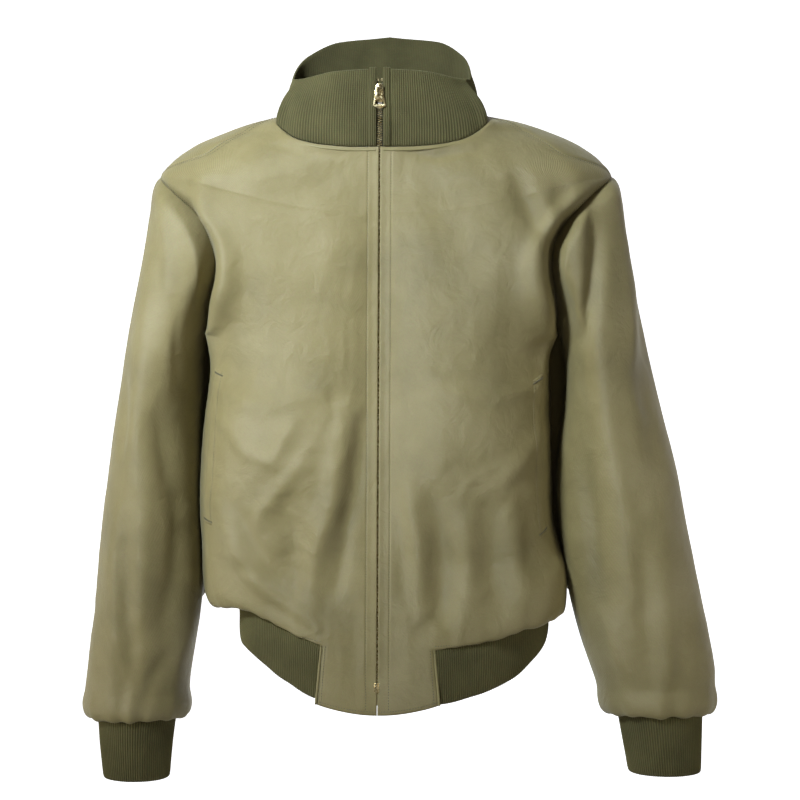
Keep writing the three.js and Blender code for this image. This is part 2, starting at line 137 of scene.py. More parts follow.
def gentle(xs, ys, x):
    """A smooth curve through points that never overshoots them (monotone cubic)."""
    xs, ys, x = np.asarray(xs, float), np.asarray(ys, float), np.asarray(x, float)
    h = np.diff(xs)
    d = np.diff(ys) / h
    m = np.zeros_like(ys)
    m[0], m[-1] = d[0], d[-1]
    both = d[:-1] * d[1:] > 0
    m[1:-1][both] = (2 * d[:-1] * d[1:] / (d[:-1] + d[1:] + 1e-12))[both]
    i = np.clip(np.searchsorted(xs, x) - 1, 0, len(xs) - 2)
    t = np.clip((x - xs[i]) / h[i], 0, 1)
    t2, t3 = t * t, t * t * t
    return (ys[i] * (2 * t3 - 3 * t2 + 1) + m[i] * h[i] * (t3 - 2 * t2 + t)
            + ys[i + 1] * (3 * t2 - 2 * t3) + m[i + 1] * h[i] * (t3 - t2))


def soft_noise(x, y, size, seed):
    """Smooth noise between -1 and 1 with features of the given size."""
    lattice = np.random.default_rng(seed).uniform(-1, 1, (64, 64))
    x, y = np.asarray(x) / size + 17.3, np.asarray(y) / size + 29.7
    i, j = np.floor(x).astype(int), np.floor(y).astype(int)
    u, v = smooth(x - i), smooth(y - j)
    a, b = lattice[i % 64, j % 64], lattice[(i + 1) % 64, j % 64]
    c, d = lattice[i % 64, (j + 1) % 64], lattice[(i + 1) % 64, (j + 1) % 64]
    return mix(mix(a, b, u), mix(c, d, u), v)


def creases(x, y, size, seed):
    """Thin soft ridges that wander and fade, between 0 and 1."""
    wx = x + size * 0.8 * soft_noise(x, y, size * 1.9, seed + 1)
    wy = y + size * 0.8 * soft_noise(x, y, size * 1.9, seed + 2)
    ridge = 1 - np.abs(soft_noise(wx, wy, size, seed))
    fade = smooth(0.5 + 0.9 * soft_noise(x, y, size * 2.6, seed + 3))
    return ridge ** 5 * fade


# ---------------------------------------------------------------- the body's and sleeves' surfaces
def front_depth(z):
    return ZIP_FRONT - np.asarray(z, float) * ZIP_LEAN


def body_point(angle, z, table=BODY, inset=0):
    """Angle 0 is the centre front, +90 degrees the wearer's left side and 180 the back."""
    angle, z = np.broadcast_arrays(np.asarray(angle, float), np.asarray(z, float))
    heights = table[:, 0]
    right, left = gentle(heights, table[:, 1], z), gentle(heights, table[:, 2], z)
    width = np.where(np.sin(angle) > 0, left, right)
    sine, cosine = np.abs(np.sin(angle)), np.cos(angle)
    swell = 7 * np.exp(-((z + 210) / 120) ** 2) * smooth(sine / 0.5)
    depth = np.where(cosine > 0, front_depth(z) + swell - inset, gentle(heights, table[:, 3], z))
    power = np.interp(z, SQUARE_HEIGHTS, SQUARES)
    r = ((sine / width) ** power + (np.abs(cosine) / depth) ** power) ** (-1 / power)
    return np.stack([r * np.sin(angle), -r * cosine, z], -1)


def armhole_cut(z, reach):
    t = np.clip((np.asarray(z, float) - ARMPIT) / (SHOULDER - ARMPIT), 0, 1)
    return reach * np.sin(np.pi * t) ** 0.6


def degrees_round(angle):
    return np.degrees(np.arctan2(np.sin(angle), np.cos(angle)))


def seam_height(angle):
    return gentle(SEAM_TURNS, SEAM_HEIGHTS, degrees_round(angle))


def seam_point(angle, z):
    """The waist rib's surface; at the front it lies a little behind the panels."""
    turn = np.abs(degrees_round(angle))
    return body_point(angle, z, HEM, 6 * smooth((turn - 26) / 18))


def neck_height(angle):
    return gentle(NECK_TURNS, NECK_HEIGHTS, np.abs(degrees_round(angle)))


def balloon(p, angle):
    """Cloth just above the waist seam bulges out, dips below the seam and tucks back in to it."""
    seam = seam_height(angle)
    t = np.clip((p[..., 2] - seam) / BALLOON, 0, 1)
    turn = np.abs(degrees_round(angle))
    dip = np.interp(turn, DIP_TURNS, DIPS)
    out = np.sin(np.pi * t / 2) ** 0.85
    share = smooth((turn - 24) / 10)
    base = seam_point(angle, seam)
    moved = mix(base, p, out[..., None])
    moved[..., 2] = seam + BALLOON * t ** 2.1 - dip * np.sin(np.pi * t) ** 0.9
    inside = (p[..., 2] < seam + BALLOON)[..., None]
    return np.where(inside, mix(p, moved, share[..., None]), p)


def shoulder_shift(z):
    return SEAM_FORWARD * smooth((np.asarray(z, float) - SHOULDER) / 26)


ARM_STEPS = 26
TURNS = np.linspace(np.pi, 0, ARM_STEPS + 1)
ARM_ROWS = mix(ARMPIT, SHOULDER, (1 + np.cos(TURNS)) / 2)
RING_TURNS = np.concatenate([TURNS[::-1], 2 * np.pi - TURNS[1:-1]])     # a sleeve's columns
NECK_SIDE = float(neck_height(np.pi / 2 - SEAM_FORWARD))
LOW_STEPS = np.array([0, 2.5, 5, 7.5, 10, 12.5, 15, 18, 21, 25, 29, 33, 37.5])
ROWS = np.concatenate([
    HEM_SEAM_SIDE + LOW_STEPS, np.linspace(HEM_SEAM_SIDE + 43, ARMPIT, 41)[:-1], ARM_ROWS,
    np.linspace(SHOULDER, NECK_SIDE, 25)[1:],
])
ARM_LOW = len(LOW_STEPS) + 40                         # row at the armpit
ARM_HIGH = ARM_LOW + ARM_STEPS
EDGE_COLUMNS = np.array([ZIP_EDGE_LOW, 3.2, 6.2, 10.2, 11.6, 12.4, 13.2, 14.8, 19, 25])
STITCH_COLUMN = 5         # the column that the topstitch beside the zip sinks along
FRONT_STEPS = 44
BACK_STEPS = 58


def front_grid(side):
    """Rows climb the side seam, the armhole and the shoulder seam; columns run out from the zip."""
    row = ROWS[:, None]
    up = (row - HEM_SEAM_SIDE) / (NECK_SIDE - HEM_SEAM_SIDE)
    s = np.concatenate([np.linspace(0, 1, FRONT_STEPS + 1)[1:-1], [0.985, 1]])[None, :]
    outer_u = mix(0.12, 1, s)
    edge_u = 0.12 * (EDGE_COLUMNS / EDGE_COLUMNS[-1])[None, :]
    u = np.concatenate([edge_u, outer_u], 1)
    top_turn = np.concatenate([np.arctan(EDGE_COLUMNS / front_depth(-35)), np.zeros(s.shape[1])])[None, :]
    top_turn[:, len(EDGE_COLUMNS):] = mix(top_turn[:, len(EDGE_COLUMNS) - 1:len(EDGE_COLUMNS)],
                                          np.pi / 2 - SEAM_FORWARD, s)
    z = mix(seam_height(side * u * np.pi / 2), neck_height(top_turn), up)
    taken = armhole_cut(row, ARMHOLE_FRONT) + shoulder_shift(row)
    edges = np.arctan(EDGE_COLUMNS[None, :] / front_depth(z[:, :len(EDGE_COLUMNS)]))
    first = edges[:, -1:]
    angle = side * np.concatenate([edges, mix(first, np.pi / 2, s) - taken * s ** 2.5], 1)
    return body_point(angle, z), angle


def hem_grid(side, seam_row):
    """The front panel's tail beside the zip, from the hem up to the waist seam's height."""
    x = np.abs(seam_row[:, 0])[None, :]
    t = np.linspace(0, 1, HEM_ROWS + 1)[:-1, None]
    low = HEM_END_BOTTOM + 13 * (np.minimum(x, 90) / 66) ** 2.2
    z = mix(low, seam_row[None, :, 2], t)
    spread = x * (1 + 0.09 * (1 - t) * smooth((x - 25) / 36)) - 0.5 * (x < 1) * smooth((0.6 - t) / 0.3)
    bend = (1 - (np.minimum(spread, 190) / 200) ** SQUARE) ** (1 / SQUARE)
    return np.stack([side * spread, -front_depth(z) * bend, z], -1)


def back_grid():
    """Rows match the fronts'; columns run from the right side seam round to the left one."""
    row = ROWS[:, None]
    up = (row - HEM_SEAM_SIDE) / (NECK_SIDE - HEM_SEAM_SIDE)
    s = np.concatenate([[-1, -0.985], np.linspace(-1, 1, BACK_STEPS + 1)[1:-1], [0.985, 1]])[None, :]
    top = neck_height(np.pi - (np.pi / 2 + SEAM_FORWARD) * s)
    z = row + up * (top - NECK_SIDE)
    half = np.pi / 2 - armhole_cut(row, ARMHOLE_BACK) + shoulder_shift(row)
    angle = np.pi - half * s
    return body_point(angle, z), angle


def station(side, t, column):
    table = SLEEVES[side]
    return gentle(np.arange(len(table)), table[:, column], t)


def sleeve_ring(side, turn, t):
    sign = SIGN[side]
    across = station(side, t, 3) * np.cos(turn) * sign
    fore = -station(side, t, 4) * np.sin(turn)
    return np.stack([station(side, t, 0) + across, station(side, t, 1) + fore,
                     station(side, t, 2) + 0 * turn], -1)


def armhole_ring(side):
    """The armhole's outline from the shoulder point down the front, and up the back."""
    sign = SIGN[side]
    z = ARM_ROWS[::-1]
    front = body_point(sign * (np.pi / 2 - armhole_cut(z, ARMHOLE_FRONT)), z)
    back = body_point(sign * (np.pi / 2 + armhole_cut(z, ARMHOLE_BACK)), z)
    return np.concatenate([front, back[::-1][1:-1]])


def sleeve_grid(side, steps=96):
    """Rows run from the armhole to the cuff; columns go round, starting at the shoulder point."""
    hole = armhole_ring(side)
    fine = np.linspace(0, CUFF_FROM, 400)
    height = station(side, fine, 2)
    run = np.interp(fine, [0, CAP, CUFF_FROM], [0, 150, 150 + abs(height[-1] - height[113])])
    t = np.interp(np.linspace(0, run[-1], steps + 1), run, fine)[:, None]
    tube = sleeve_ring(side, RING_TURNS[None, :], t)
    return mix(hole[None], tube, smooth(t / CAP)[..., None])


# ---------------------------------------------------------------- folds drawn on the smooth cloth
def near_line(x, z, points, width):
    """1 on a polyline through (x, z) points, falling to 0 over the width, fading at its ends."""
    best = np.zeros_like(x)
    points = np.array(points, float)
    total = len(points) - 1
    for k in range(total):
        a, b = points[k], points[k + 1]
        d = b - a
        t = ((x - a[0]) * d[0] + (z - a[1]) * d[1]) / (d @ d)
        tc = np.clip(t, 0, 1)
        gap = np.hypot(x - a[0] - tc * d[0], z - a[1] - tc * d[1])
        along = (k + tc) / total
        best = np.maximum(best, np.exp(-(gap / width) ** 2) * np.sin(np.pi * mix(0.1, 0.9, along)) ** 0.5)
    return best


# Folds on the fronts: points in x and z as seen from the front, width, height outwards.
FRONT_FOLDS = [
    ([(-34, -318), (-42, -378), (-49, -422), (-66, -466), (-70, -520)], 13, 8.0),
    ([(-20, -330), (-25, -400), (-34, -440), (-42, -500)], 9, -5.0),
    ([(-80, -372), (-106, -402), (-128, -432)], 9, 5.0),
    ([(-92, -334), (-112, -370)], 8, 4.0),
    ([(-104, -400), (-92, -446), (-94, -500)], 15, -5.5),
    ([(-176, -420), (-150, -470), (-120, -506)], 13, 6.5),
    ([(-150, -430), (-128, -470), (-108, -500)], 9, -4.0),
    ([(-140, -498), (-100, -520), (-64, -548)], 8, 6.0),
    ([(-118, -520), (-90, -534), (-64, -552)], 6, -3.0),
    ([(32, -396), (44, -466), (46, -528)], 12, 7.0),
    ([(62, -410), (68, -470), (66, -530)], 12, -5.0),
    ([(138, -410), (145, -485), (158, -512)], 11, 7.0),
    ([(116, -420), (120, -480), (128, -530)], 11, -5.0),
    ([(92, -440), (96, -500), (88, -545)], 12, 4.5),
    ([(146, -74), (160, -104), (180, -140)], 11, -8.0),
    ([(168, -84), (180, -108), (192, -134)], 10, 4.5),
    ([(190, -84), (192, -106), (198, -136)], 10, -4.0),
    ([(204, -60), (210, -96), (212, -132)], 11, 4.0),
    ([(-214, -72), (-209, -96), (-210, -126)], 11, -6.0),
    ([(-194, -66), (-191, -96), (-196, -136)], 11, 4.5),
    ([(-60, -300), (-120, -312), (-170, -300)], 8, 2.4),
    ([(60, -296), (120, -306), (168, -292)], 8, 2.4),
    ([(-170, -330), (-140, -362), (-110, -372)], 9, 3.6),
    ([(168, -350), (140, -384), (118, -400)], 10, 3.6),
    ([(-30, -50), (-70, -80), (-120, -92)], 16, -2.2),
    ([(26, -42), (60, -48), (110, -40)], 5, -2.2),
    ([(-40, -46), (-80, -44), (-120, -34)], 5, -2.0),
    ([(40, -60), (80, -120), (96, -190)], 24, -2.6),
    ([(-150, -150), (-140, -220), (-150, -280)], 20, -3.0),
    ([(150, -160), (140, -230), (152, -290)], 20, -3.0),
]
BACK_FOLDS = [
    ([(-150, -110), (-60, -150), (40, -160), (150, -115)], 18, -4.0),
    ([(-165, -200), (-90, -250), (-60, -330)], 16, 5.0),
    ([(165, -200), (96, -250), (70, -330)], 16, 5.0),
    ([(-130, -400), (-60, -440), (30, -430)], 12, 5.0),
    ([(20, -470), (90, -480), (150, -440)], 12, 5.5),
    ([(-90, -500), (-85, -460), (-100, -420)], 12, 5.5),
    ([(50, -520), (44, -480), (56, -430)], 12, 5.5),
    ([(0, -120), (4, -240), (-6, -380)], 26, -4.0),
]
# Folds on the front of each sleeve: points in x and z as seen from the front, width, height.
SLEEVE_FOLDS = {
    "right": [
        ([(-283, -286), (-281, -330), (-286, -366)], 6, -4.5),
        ([(-220, -222), (-221, -250), (-220, -286)], 4, -2.5),
        ([(-250, -120), (-256, -200), (-264, -300), (-272, -400)], 13, 5.0),
        ([(-238, -330), (-236, -368), (-226, -420)], 11, -7.0),
        ([(-252, -372), (-258, -450), (-262, -540)], 14, 6.0),
        ([(-222, -420), (-226, -490), (-238, -560)], 10, -6.0),
        ([(-286, -430), (-292, -500), (-290, -590)], 12, 5.0),
        ([(-276, -470), (-277, -540), (-272, -620)], 9, -5.0),
        ([(-236, -590), (-250, -612), (-262, -650)], 7, -4.0),
        ([(-292, -590), (-284, -618), (-282, -650)], 6, -3.5),
        ([(-236, -92), (-232, -130), (-226, -190)], 8, 4.0),
        ([(-214, -560), (-226, -600), (-228, -640)], 8, 4.0),
    ],
    "left": [
        ([(224, -92), (229, -130), (226, -190), (214, -240)], 8, -13.0),
        ([(240, -80), (252, -118), (264, -180), (274, -260)], 7, 6.0),
        ([(228, -250), (240, -330), (262, -440), (272, -520)], 14, 6.0),
        ([(282, -200), (284, -280), (296, -380)], 11, -5.5),
        ([(212, -360), (226, -430), (238, -520)], 10, -5.0),
        ([(296, -430), (306, -520), (312, -600)], 13, 5.0),
        ([(276, -470), (284, -540), (292, -620)], 9, -5.5),
        ([(246, -540), (258, -590), (272, -632)], 9, 5.0),
        ([(320, -560), (322, -600), (316, -640)], 7, -4.0),
        ([(256, -600), (270, -620), (280, -645)], 6, -3.5),
        ([(262, -300), (282, -330), (300, -340)], 8, 3.0),
    ],
}
# How far the seam is drawn back into the hollow between chest and sleeve, by height.
HOLLOW_HEIGHTS = (-236, -200, -160, -120, -95, -68)
HOLLOW_DEPTHS = (30, 46, 46, 34, 16, 0)


def grid_normals(p, ring=False):
    """Outward normals of a grid, given that its columns run to the right seen from outside."""
    if ring:
        du = np.roll(p, -1, 1) - np.roll(p, 1, 1)
    else:
        du = np.gradient(p, axis=1)
    dv = np.gradient(p, axis=0)
    n = np.cross(du, dv)
    return n / (np.linalg.norm(n, axis=-1, keepdims=True) + 1e-9)


def outward(p, n, ring=False):
    """The same normals, turned to point away from the body's middle, or from a sleeve's own."""
    middle = p.reshape(-1, 3).mean(0) if ring else np.zeros(3)
    flip = np.sign(((p - middle) * n * [1, 1, 0]).sum())
    return n * flip


def lay_folds(p, n, folds, x, z, scale=1.0):
    lift = np.zeros(p.shape[:2])
    for points, width, height in folds:
        lift += height * scale * near_line(x, z, points, width)
    return p + n * lift[..., None]


def body_cloth(p, turn, seed, folds, has_zip):
    """Adds the drawn folds, soft waves, small creases, and the blousing over the waist rib."""
    above = np.maximum(p[..., 2] - seam_height(turn), 0)
    p = balloon(p, turn)
    if has_zip:
        # The front hangs out over the stomach and falls back towards the waist.
        hang = 9 * np.exp(-((p[..., 2] + 350) / 75) ** 2) - 9 * np.exp(-((p[..., 2] + 500) / 38) ** 2)
        p[..., 1] -= hang * smooth((np.abs(p[..., 0]) - 14) / 60) * smooth((200 - np.abs(p[..., 0])) / 60)
    n = outward(p, grid_normals(p))
    x, z = p[..., 0], p[..., 2]
    p = lay_folds(p, n, folds, x, z)
    angle = np.arctan2(x, -p[..., 1])
    around = np.where((angle < 0) & (not has_zip), angle + 2 * np.pi, angle) * BODY_ROUND
    waves = 2.6 * soft_noise(around, z * 0.75, 95, seed) + 1.3 * soft_noise(around, z * 0.8, 46, seed + 5)
    lower = smooth((-z - 180) / 260)
    small = 1.3 * creases(around, z, 30, seed + 9) + 0.9 * creases(around, z, 17, seed + 21)
    lift = waves * mix(0.45, 1, lower) + small * mix(0.5, 1.3, lower)
    steps = np.arange(p.shape[0])[:, None]
    gather = np.exp(-above / 26.0)
    pucker = np.sin(around * 2 * np.pi / 21 + 2.2 * soft_noise(around, 0 * z, 60, seed + 31))
    pucker += 0.7 * np.sin(around * 2 * np.pi / 12.5 + 2.5 * soft_noise(around, 0 * z, 40, seed + 33))
    side_share = smooth((np.abs(around) - 60) / 60) if has_zip else 1.0
    lift += 1.1 * pucker * gather * mix(0.2, 1, side_share) * smooth(above / 9)
    quiet = smooth((np.abs(x) - 13) / 12) if has_zip else 1.0
    neck = smooth(np.minimum((p.shape[0] - 1 - steps) / 5.0, 1))
    p = p + n * (lift * quiet * neck)[..., None]
    if has_zip:
        # The turned edge stands a little proud of the teeth, and the topstitch pulls a groove.
        p[..., 1] -= 1.0 * smooth((6.5 - np.abs(x)) / 4)
        p[:, STITCH_COLUMN, 1] += 0.7
    else:
        side = np.abs(degrees_round(turn))
        beside = np.exp(-((side - 117) / 11.0) ** 2) * smooth((-225 - z) / 40) * smooth((z + 560) / 60)
        p = p + n * (41 * beside)[..., None]
    return p


def draw_back_front(front, side):
    """Pulls a front's armhole edge back, so that the chest rolls over into a hollow."""
    rows = np.arange(len(front))
    edge = front[:, -1, 2]
    depth = np.interp(edge, HOLLOW_HEIGHTS, HOLLOW_DEPTHS, left=HOLLOW_DEPTHS[0], right=0)
    depth = depth * smooth((rows - ARM_LOW + 14) / 14) * (rows <= ARM_HIGH)
    run = np.cumsum(np.linalg.norm(np.diff(front[:, ::-1], axis=1), axis=-1), 1)
    gap = np.concatenate([0 * run[:, :1], run], 1)[:, ::-1]
    share = np.exp(-(gap / 14.0) ** 2)
    lip = 0.16 * np.exp(-((gap - 34) / 14.0) ** 2)
    push = np.array([-side * 0.25, 0.97, 0])
    return front + (share - lip)[..., None] * depth[:, None, None] * push


def sleeve_cloth(p, side):
    n = outward(p, grid_normals(p, ring=True), ring=True)
    turn = RING_TURNS[None, :] + 0 * p[..., 0]
    x, z = p[..., 0], p[..., 2]
    across = turn * SLEEVE_ROUND
    rows = np.arange(p.shape[0])[:, None]
    away = smooth(rows / 6.0)
    facing = smooth(np.sin(turn) / 0.3)
    p = lay_folds(p, n * (away * facing)[..., None], SLEEVE_FOLDS[side], x, z)
    seed = SLEEVE_SEEDS[side]
    wrap, wrap2 = np.cos(turn) * SLEEVE_ROUND, np.sin(turn) * SLEEVE_ROUND
    waves = 2.4 * soft_noise(wrap + 0.3 * wrap2, z * 0.5, 60, seed)
    waves += 2.2 * soft_noise(wrap2, z * 0.4, 70, seed + 2)
    small = 1.2 * creases(wrap + wrap2 * 0.6, z, 30, seed + 4) + 0.6 * creases(wrap2 - wrap, z, 18, seed + 8)
    end = np.abs(z - p[-1:, :, 2])
    gather = np.exp(-end / 16.0) * smooth(end / 3)
    pucker = np.sin(turn * 13 + 2.0 * soft_noise(across, 0 * z, 70, seed + 12))
    pucker += 0.7 * np.sin(turn * 21 + 2.0 * soft_noise(across, 0 * z, 40, seed + 13))
    cap = np.exp(-rows / 7.0) * smooth(rows / 2.0) * (np.cos(turn) > 0)
    tucks = 1.5 * np.sin(turn * 19) * cap * np.cos(turn)
    head = 7 * np.exp(-((rows - 5) / 6.0) ** 2) * smooth(np.cos(turn))
    hang = 6 * np.exp(-((end - 13) / 10.0) ** 2)
    # The inside back of the sleeve rests against the body below the armpit.
    rest = smooth((z + 560) / 60) * smooth((-215 - z) / 30) * np.exp(-((turn - np.radians(236)) / 0.4) ** 2)
    lift = (waves + small) * away + 2.0 * pucker * gather + tucks + head + hang
    p = p + n * lift[..., None]
    p[..., 0] += np.sign(-p[..., 0]) * REST * rest
    p[..., 2] -= 7 * np.exp(-((end - 8) / 8.0) ** 2) * smooth(end / 3)
    return p


# ---------------------------------------------------------------- meshes
def deselect_all():
    for o in bpy.context.selected_objects:
        o.select_set(False)


def new_mesh(name, points_mm, faces, uvs=None, columns=0, wrap=None):
    mesh = bpy.data.meshes.new(name)
    mesh.from_pydata((np.asarray(points_mm) * MM).tolist(), [], faces)
    obj = bpy.data.objects.new(name, mesh)
    bpy.context.scene.collection.objects.link(obj)
    if uvs is not None:
        layer = mesh.uv_layers.new(name="cloth")
        loops = np.zeros(len(mesh.loops), int)
        mesh.loops.foreach_get("vertex_index", loops)
        values = np.asarray(uvs, float)[loops].copy()
        if wrap is not None:
            last = (np.arange(len(loops)) // 4) % columns == columns - 1
            values[last & (loops % columns == 0), 0] = wrap
        layer.data.foreach_set("uv", values.ravel())
    return obj


def grid_faces(rows, columns, ring=False, flip=False, skip=None):
    across = columns if ring else columns - 1
    faces = []
    for j in range(rows - 1):
        for i in range(across):
            if skip is not None and skip(j, i):
                continue
            k = (i + 1) % columns
            quad = (j * columns + i, j * columns + k, (j + 1) * columns + k, (j + 1) * columns + i)
            faces.append(quad[::-1] if flip else quad)
    return faces


def grid_uv(p):
    """Distances along the cloth, in metres, so that a weave keeps its size."""
    across = np.linalg.norm(np.diff(p, axis=1), axis=-1).mean(0)
    along = np.linalg.norm(np.diff(p, axis=0), axis=-1).mean(1)
    u = np.concatenate([[0], np.cumsum(across)])
    v = np.concatenate([[0], np.cumsum(along)])
    return np.stack(np.meshgrid(u, v), -1) * MM


def grid_mesh(name, p, n, ring=False, skip=None):
    """A mesh over a grid of points, wound so that it faces along the normals n."""
    flip = (grid_normals(p, ring) * n).sum() < 0
    uv = grid_uv(p)
    wrap = uv[0, -1, 0] + MM if ring else None
    faces = grid_faces(*p.shape[:2], ring, flip, skip)
    return new_mesh(name, p.reshape(-1, 3), faces, uv.reshape(-1, 2), p.shape[1], wrap)


def thicken(obj, thickness):
    """Gives a sheet its thickness, inwards from the face."""
    solid = obj.modifiers.new("thickness", "SOLIDIFY")
    solid.thickness = thickness * MM
    solid.offset = -1


def apply_modifiers(obj):
    deselect_all()
    obj.select_set(True)
    bpy.context.view_layer.objects.active = obj
    for m in list(obj.modifiers):
        bpy.ops.object.modifier_apply(modifier=m.name)
    obj.select_set(False)


def shade_smooth(obj, angle=None):
    for face in obj.data.polygons:
        face.use_smooth = True
    if angle is not None:
        deselect_all()
        obj.select_set(True)
        bpy.context.view_layer.objects.active = obj
        bpy.ops.object.shade_smooth_by_angle(angle=math.radians(angle))
        obj.select_set(False)


def face_outwards(obj):
    mesh = bmesh.new()
    mesh.from_mesh(obj.data)
    bmesh.ops.recalc_face_normals(mesh, faces=mesh.faces)
    mesh.to_mesh(obj.data)
    mesh.free()


def drop_loose(obj):
    """Removes the grid points that no face uses."""
    mesh = bmesh.new()
    mesh.from_mesh(obj.data)
    bmesh.ops.delete(mesh, geom=[v for v in mesh.verts if not v.link_faces], context="VERTS")
    mesh.to_mesh(obj.data)
    mesh.free()


def cloth_sheet(name, p, thickness, ring=False, levels=1, skip=None):
    """A sewn panel: the grid, subdivided, then given thickness inwards."""
    obj = grid_mesh(name, p, outward(p, grid_normals(p, ring), ring), ring, skip)
    if skip is not None:
        drop_loose(obj)
    if levels:
        sub = obj.modifiers.new("fine", "SUBSURF")
        sub.levels = sub.render_levels = levels
        sub.boundary_smooth = "PRESERVE_CORNERS"
    thicken(obj, thickness)
    apply_modifiers(obj)
    shade_smooth(obj)
    return obj


# ---------------------------------------------------------------- camera, light and floor
# Softboxes: place, size, watts, colour, the point each is aimed at, and its beam's width in degrees.
SOFTBOXES = {
    "key_left": ((-1.05, -1.7, 0.95), (0.5, 0.5), 4.1, (0.77, 0.86, 1.0), (-0.13, -0.1, -0.06), 34),
    "fill_front": ((0.5, -2.6, -0.2), (1.2, 1.4), 2.8, (1.0, 0.92, 0.80), (0, 0, -0.3), 180),
    "side_left": ((-2.2, -0.9, -0.3), (0.4, 0.6), 0.9, (1.0, 0.96, 0.88), (-0.30, 0, -0.55), 34),
    "side_right": ((2.2, -1.1, -0.3), (0.4, 0.6), 0.5, (1.0, 0.96, 0.88), (0.31, 0, -0.5), 34),
    "top": ((0, 0.4, 1.9), (1.6, 1.2), 1.8, (1, 1, 1), (0, 0, -0.3), 180),
}
CAMERA_TARGET = (0.016, 0.0, -0.312)
CAMERA_AZIMUTH = 3.5
CAMERA_ELEVATION = 4.0
CAMERA_DISTANCE = 2.6
FRAME_WIDTH = 0.88        # metres across the picture at the target
WORLD_STRENGTH = 0.07
FLOOR_LEVEL = -1.0
FLOOR_REACH = 9.0         # the floor's half width, and how far it runs forward
WALL_PLACE = 6.0          # where the sweep has turned up into the wall
WALL_RISE = 8.0


def place_camera():
    azimuth, elevation = math.radians(CAMERA_AZIMUTH), math.radians(CAMERA_ELEVATION)
    back = Vector((math.sin(azimuth) * math.cos(elevation), -math.cos(azimuth) * math.cos(elevation),
                   math.sin(elevation)))
    camera = bpy.data.objects.new("camera", bpy.data.cameras.new("camera"))
    bpy.context.scene.collection.objects.link(camera)
    camera.location = Vector(CAMERA_TARGET) + back * CAMERA_DISTANCE
    camera.rotation_euler = (-back).to_track_quat("-Z", "Y").to_euler()
    camera.data.lens = camera.data.sensor_width * CAMERA_DISTANCE / FRAME_WIDTH
    bpy.context.scene.camera = camera


def place_lights():
    world = bpy.data.worlds.new("studio")
    world.use_nodes = True
    background = world.node_tree.nodes["Background"]
    background.inputs["Color"].default_value = (1, 1, 1, 1)
    background.inputs["Strength"].default_value = WORLD_STRENGTH
    bpy.context.scene.world = world
    for name, (place, size, power, colour, aim, beam) in SOFTBOXES.items():
        light = bpy.data.lights.new(name, "AREA")
        light.shape = "RECTANGLE"
        light.size, light.size_y = size
        light.energy = power
        light.color = colour
        light.spread = math.radians(beam)
        lamp = bpy.data.objects.new(name, light)
        bpy.context.scene.collection.objects.link(lamp)
        lamp.location = place
        lamp.rotation_euler = (Vector(aim) - Vector(place)).to_track_quat("-Z", "Y").to_euler()


def place_floor():
    """A sweep that turns up into a wall; only the part behind the jacket glows white, by emission, as painted
    light that also lights the jacket from behind.
    """
    floor_mesh = bpy.data.meshes.new("floor")
    turns = np.linspace(0, math.pi / 2, 13)
    curve = [(WALL_PLACE - 2 + 2 * math.sin(a), FLOOR_LEVEL + 2 - 2 * math.cos(a)) for a in turns]
    profile = [(-FLOOR_REACH, FLOOR_LEVEL), *curve, (WALL_PLACE, FLOOR_LEVEL + WALL_RISE)]
    points = [(x, y, z) for y, z in profile for x in (-FLOOR_REACH, FLOOR_REACH)]
    faces = [(2 * k, 2 * k + 1, 2 * k + 3, 2 * k + 2) for k in range(len(profile) - 1)]
    floor_mesh.from_pydata(points, [], faces)
    floor = bpy.data.objects.new("floor", floor_mesh)
    bpy.context.scene.collection.objects.link(floor)
    for face in floor_mesh.polygons:
        face.use_smooth = True
    paint = plain_material("studio_sweep_glowing_white", "#f4f4f4", 0.9)
    tree = paint.node_tree
    shader = tree.nodes["Principled BSDF"]
    shader.inputs["Emission Color"].default_value = (1, 1, 1, 1)
    # Painted light: the sweep's emission rises with depth, from none at y = 0.5 m to 0.95 from y = 1 m back,
    # standing in for the sweep being lit from behind.
    place = node(tree, "ShaderNodeTexCoord").outputs["Object"]
    depth = node(tree, "ShaderNodeSeparateXYZ", Vector=place).outputs["Y"]
    glow = node(tree, "ShaderNodeMapRange", Value=depth, i1=0.5, i2=1.0, i3=0.0, i4=0.95)
    tree.links.new(glow.outputs[0], shader.inputs["Emission Strength"])
    floor_mesh.materials.append(paint)


def look():
    bpy.context.scene.view_settings.view_transform = "Standard"
    place_camera()
    place_lights()
    place_floor()


# ---------------------------------------------------------------- materials
def linear(hex_colour):
    """An sRGB hex colour as linear red, green, blue and alpha."""
    values = [int(hex_colour[i:i + 2], 16) / 255 for i in (1, 3, 5)]
    return [v / 12.92 if v <= 0.04045 else ((v + 0.055) / 1.055) ** 2.4 for v in values] + [1.0]


def new_material(name):
    material = bpy.data.materials.new(name)
    material.use_nodes = True
    return material, material.node_tree, material.node_tree.nodes["Principled BSDF"]


def node(tree, kind, settings=None, **inputs):
    """Adds a node; an input is a value, or a socket to link it from. Names use _ for a space."""
    made = tree.nodes.new(kind)
    for key, value in (settings or {}).items():
        setattr(made, key, value)
    for key, value in inputs.items():
        numbered = key[0] == "i" and key[1:].isdigit()
        slot = made.inputs[int(key[1:]) if numbered else key.replace("_", " ")]
        if isinstance(value, bpy.types.NodeSocket):
            tree.links.new(value, slot)
        else:
            slot.default_value = value
    return made


def plain_material(name, colour, roughness):
    material, tree, shader = new_material(name)
    shader.inputs["Base Color"].default_value = linear(colour)
    shader.inputs["Roughness"].default_value = roughness
    return material


def ramp(tree, factor, stops):
    made = node(tree, "ShaderNodeValToRGB", Fac=factor)
    elements = made.color_ramp.elements
    while len(elements) < len(stops):
        elements.new(0.5)
    for element, (place, colour) in zip(elements, stops):
        element.position = place
        element.color = linear(colour)
    return made.outputs["Color"]


def overlay(tree, kind, amount, below, above):
    """One colour mixed over another."""
    made = node(tree, "ShaderNodeMix", {"data_type": "RGBA", "blend_type": kind}, i0=amount, i6=below, i7=above)
    return made.outputs[2]


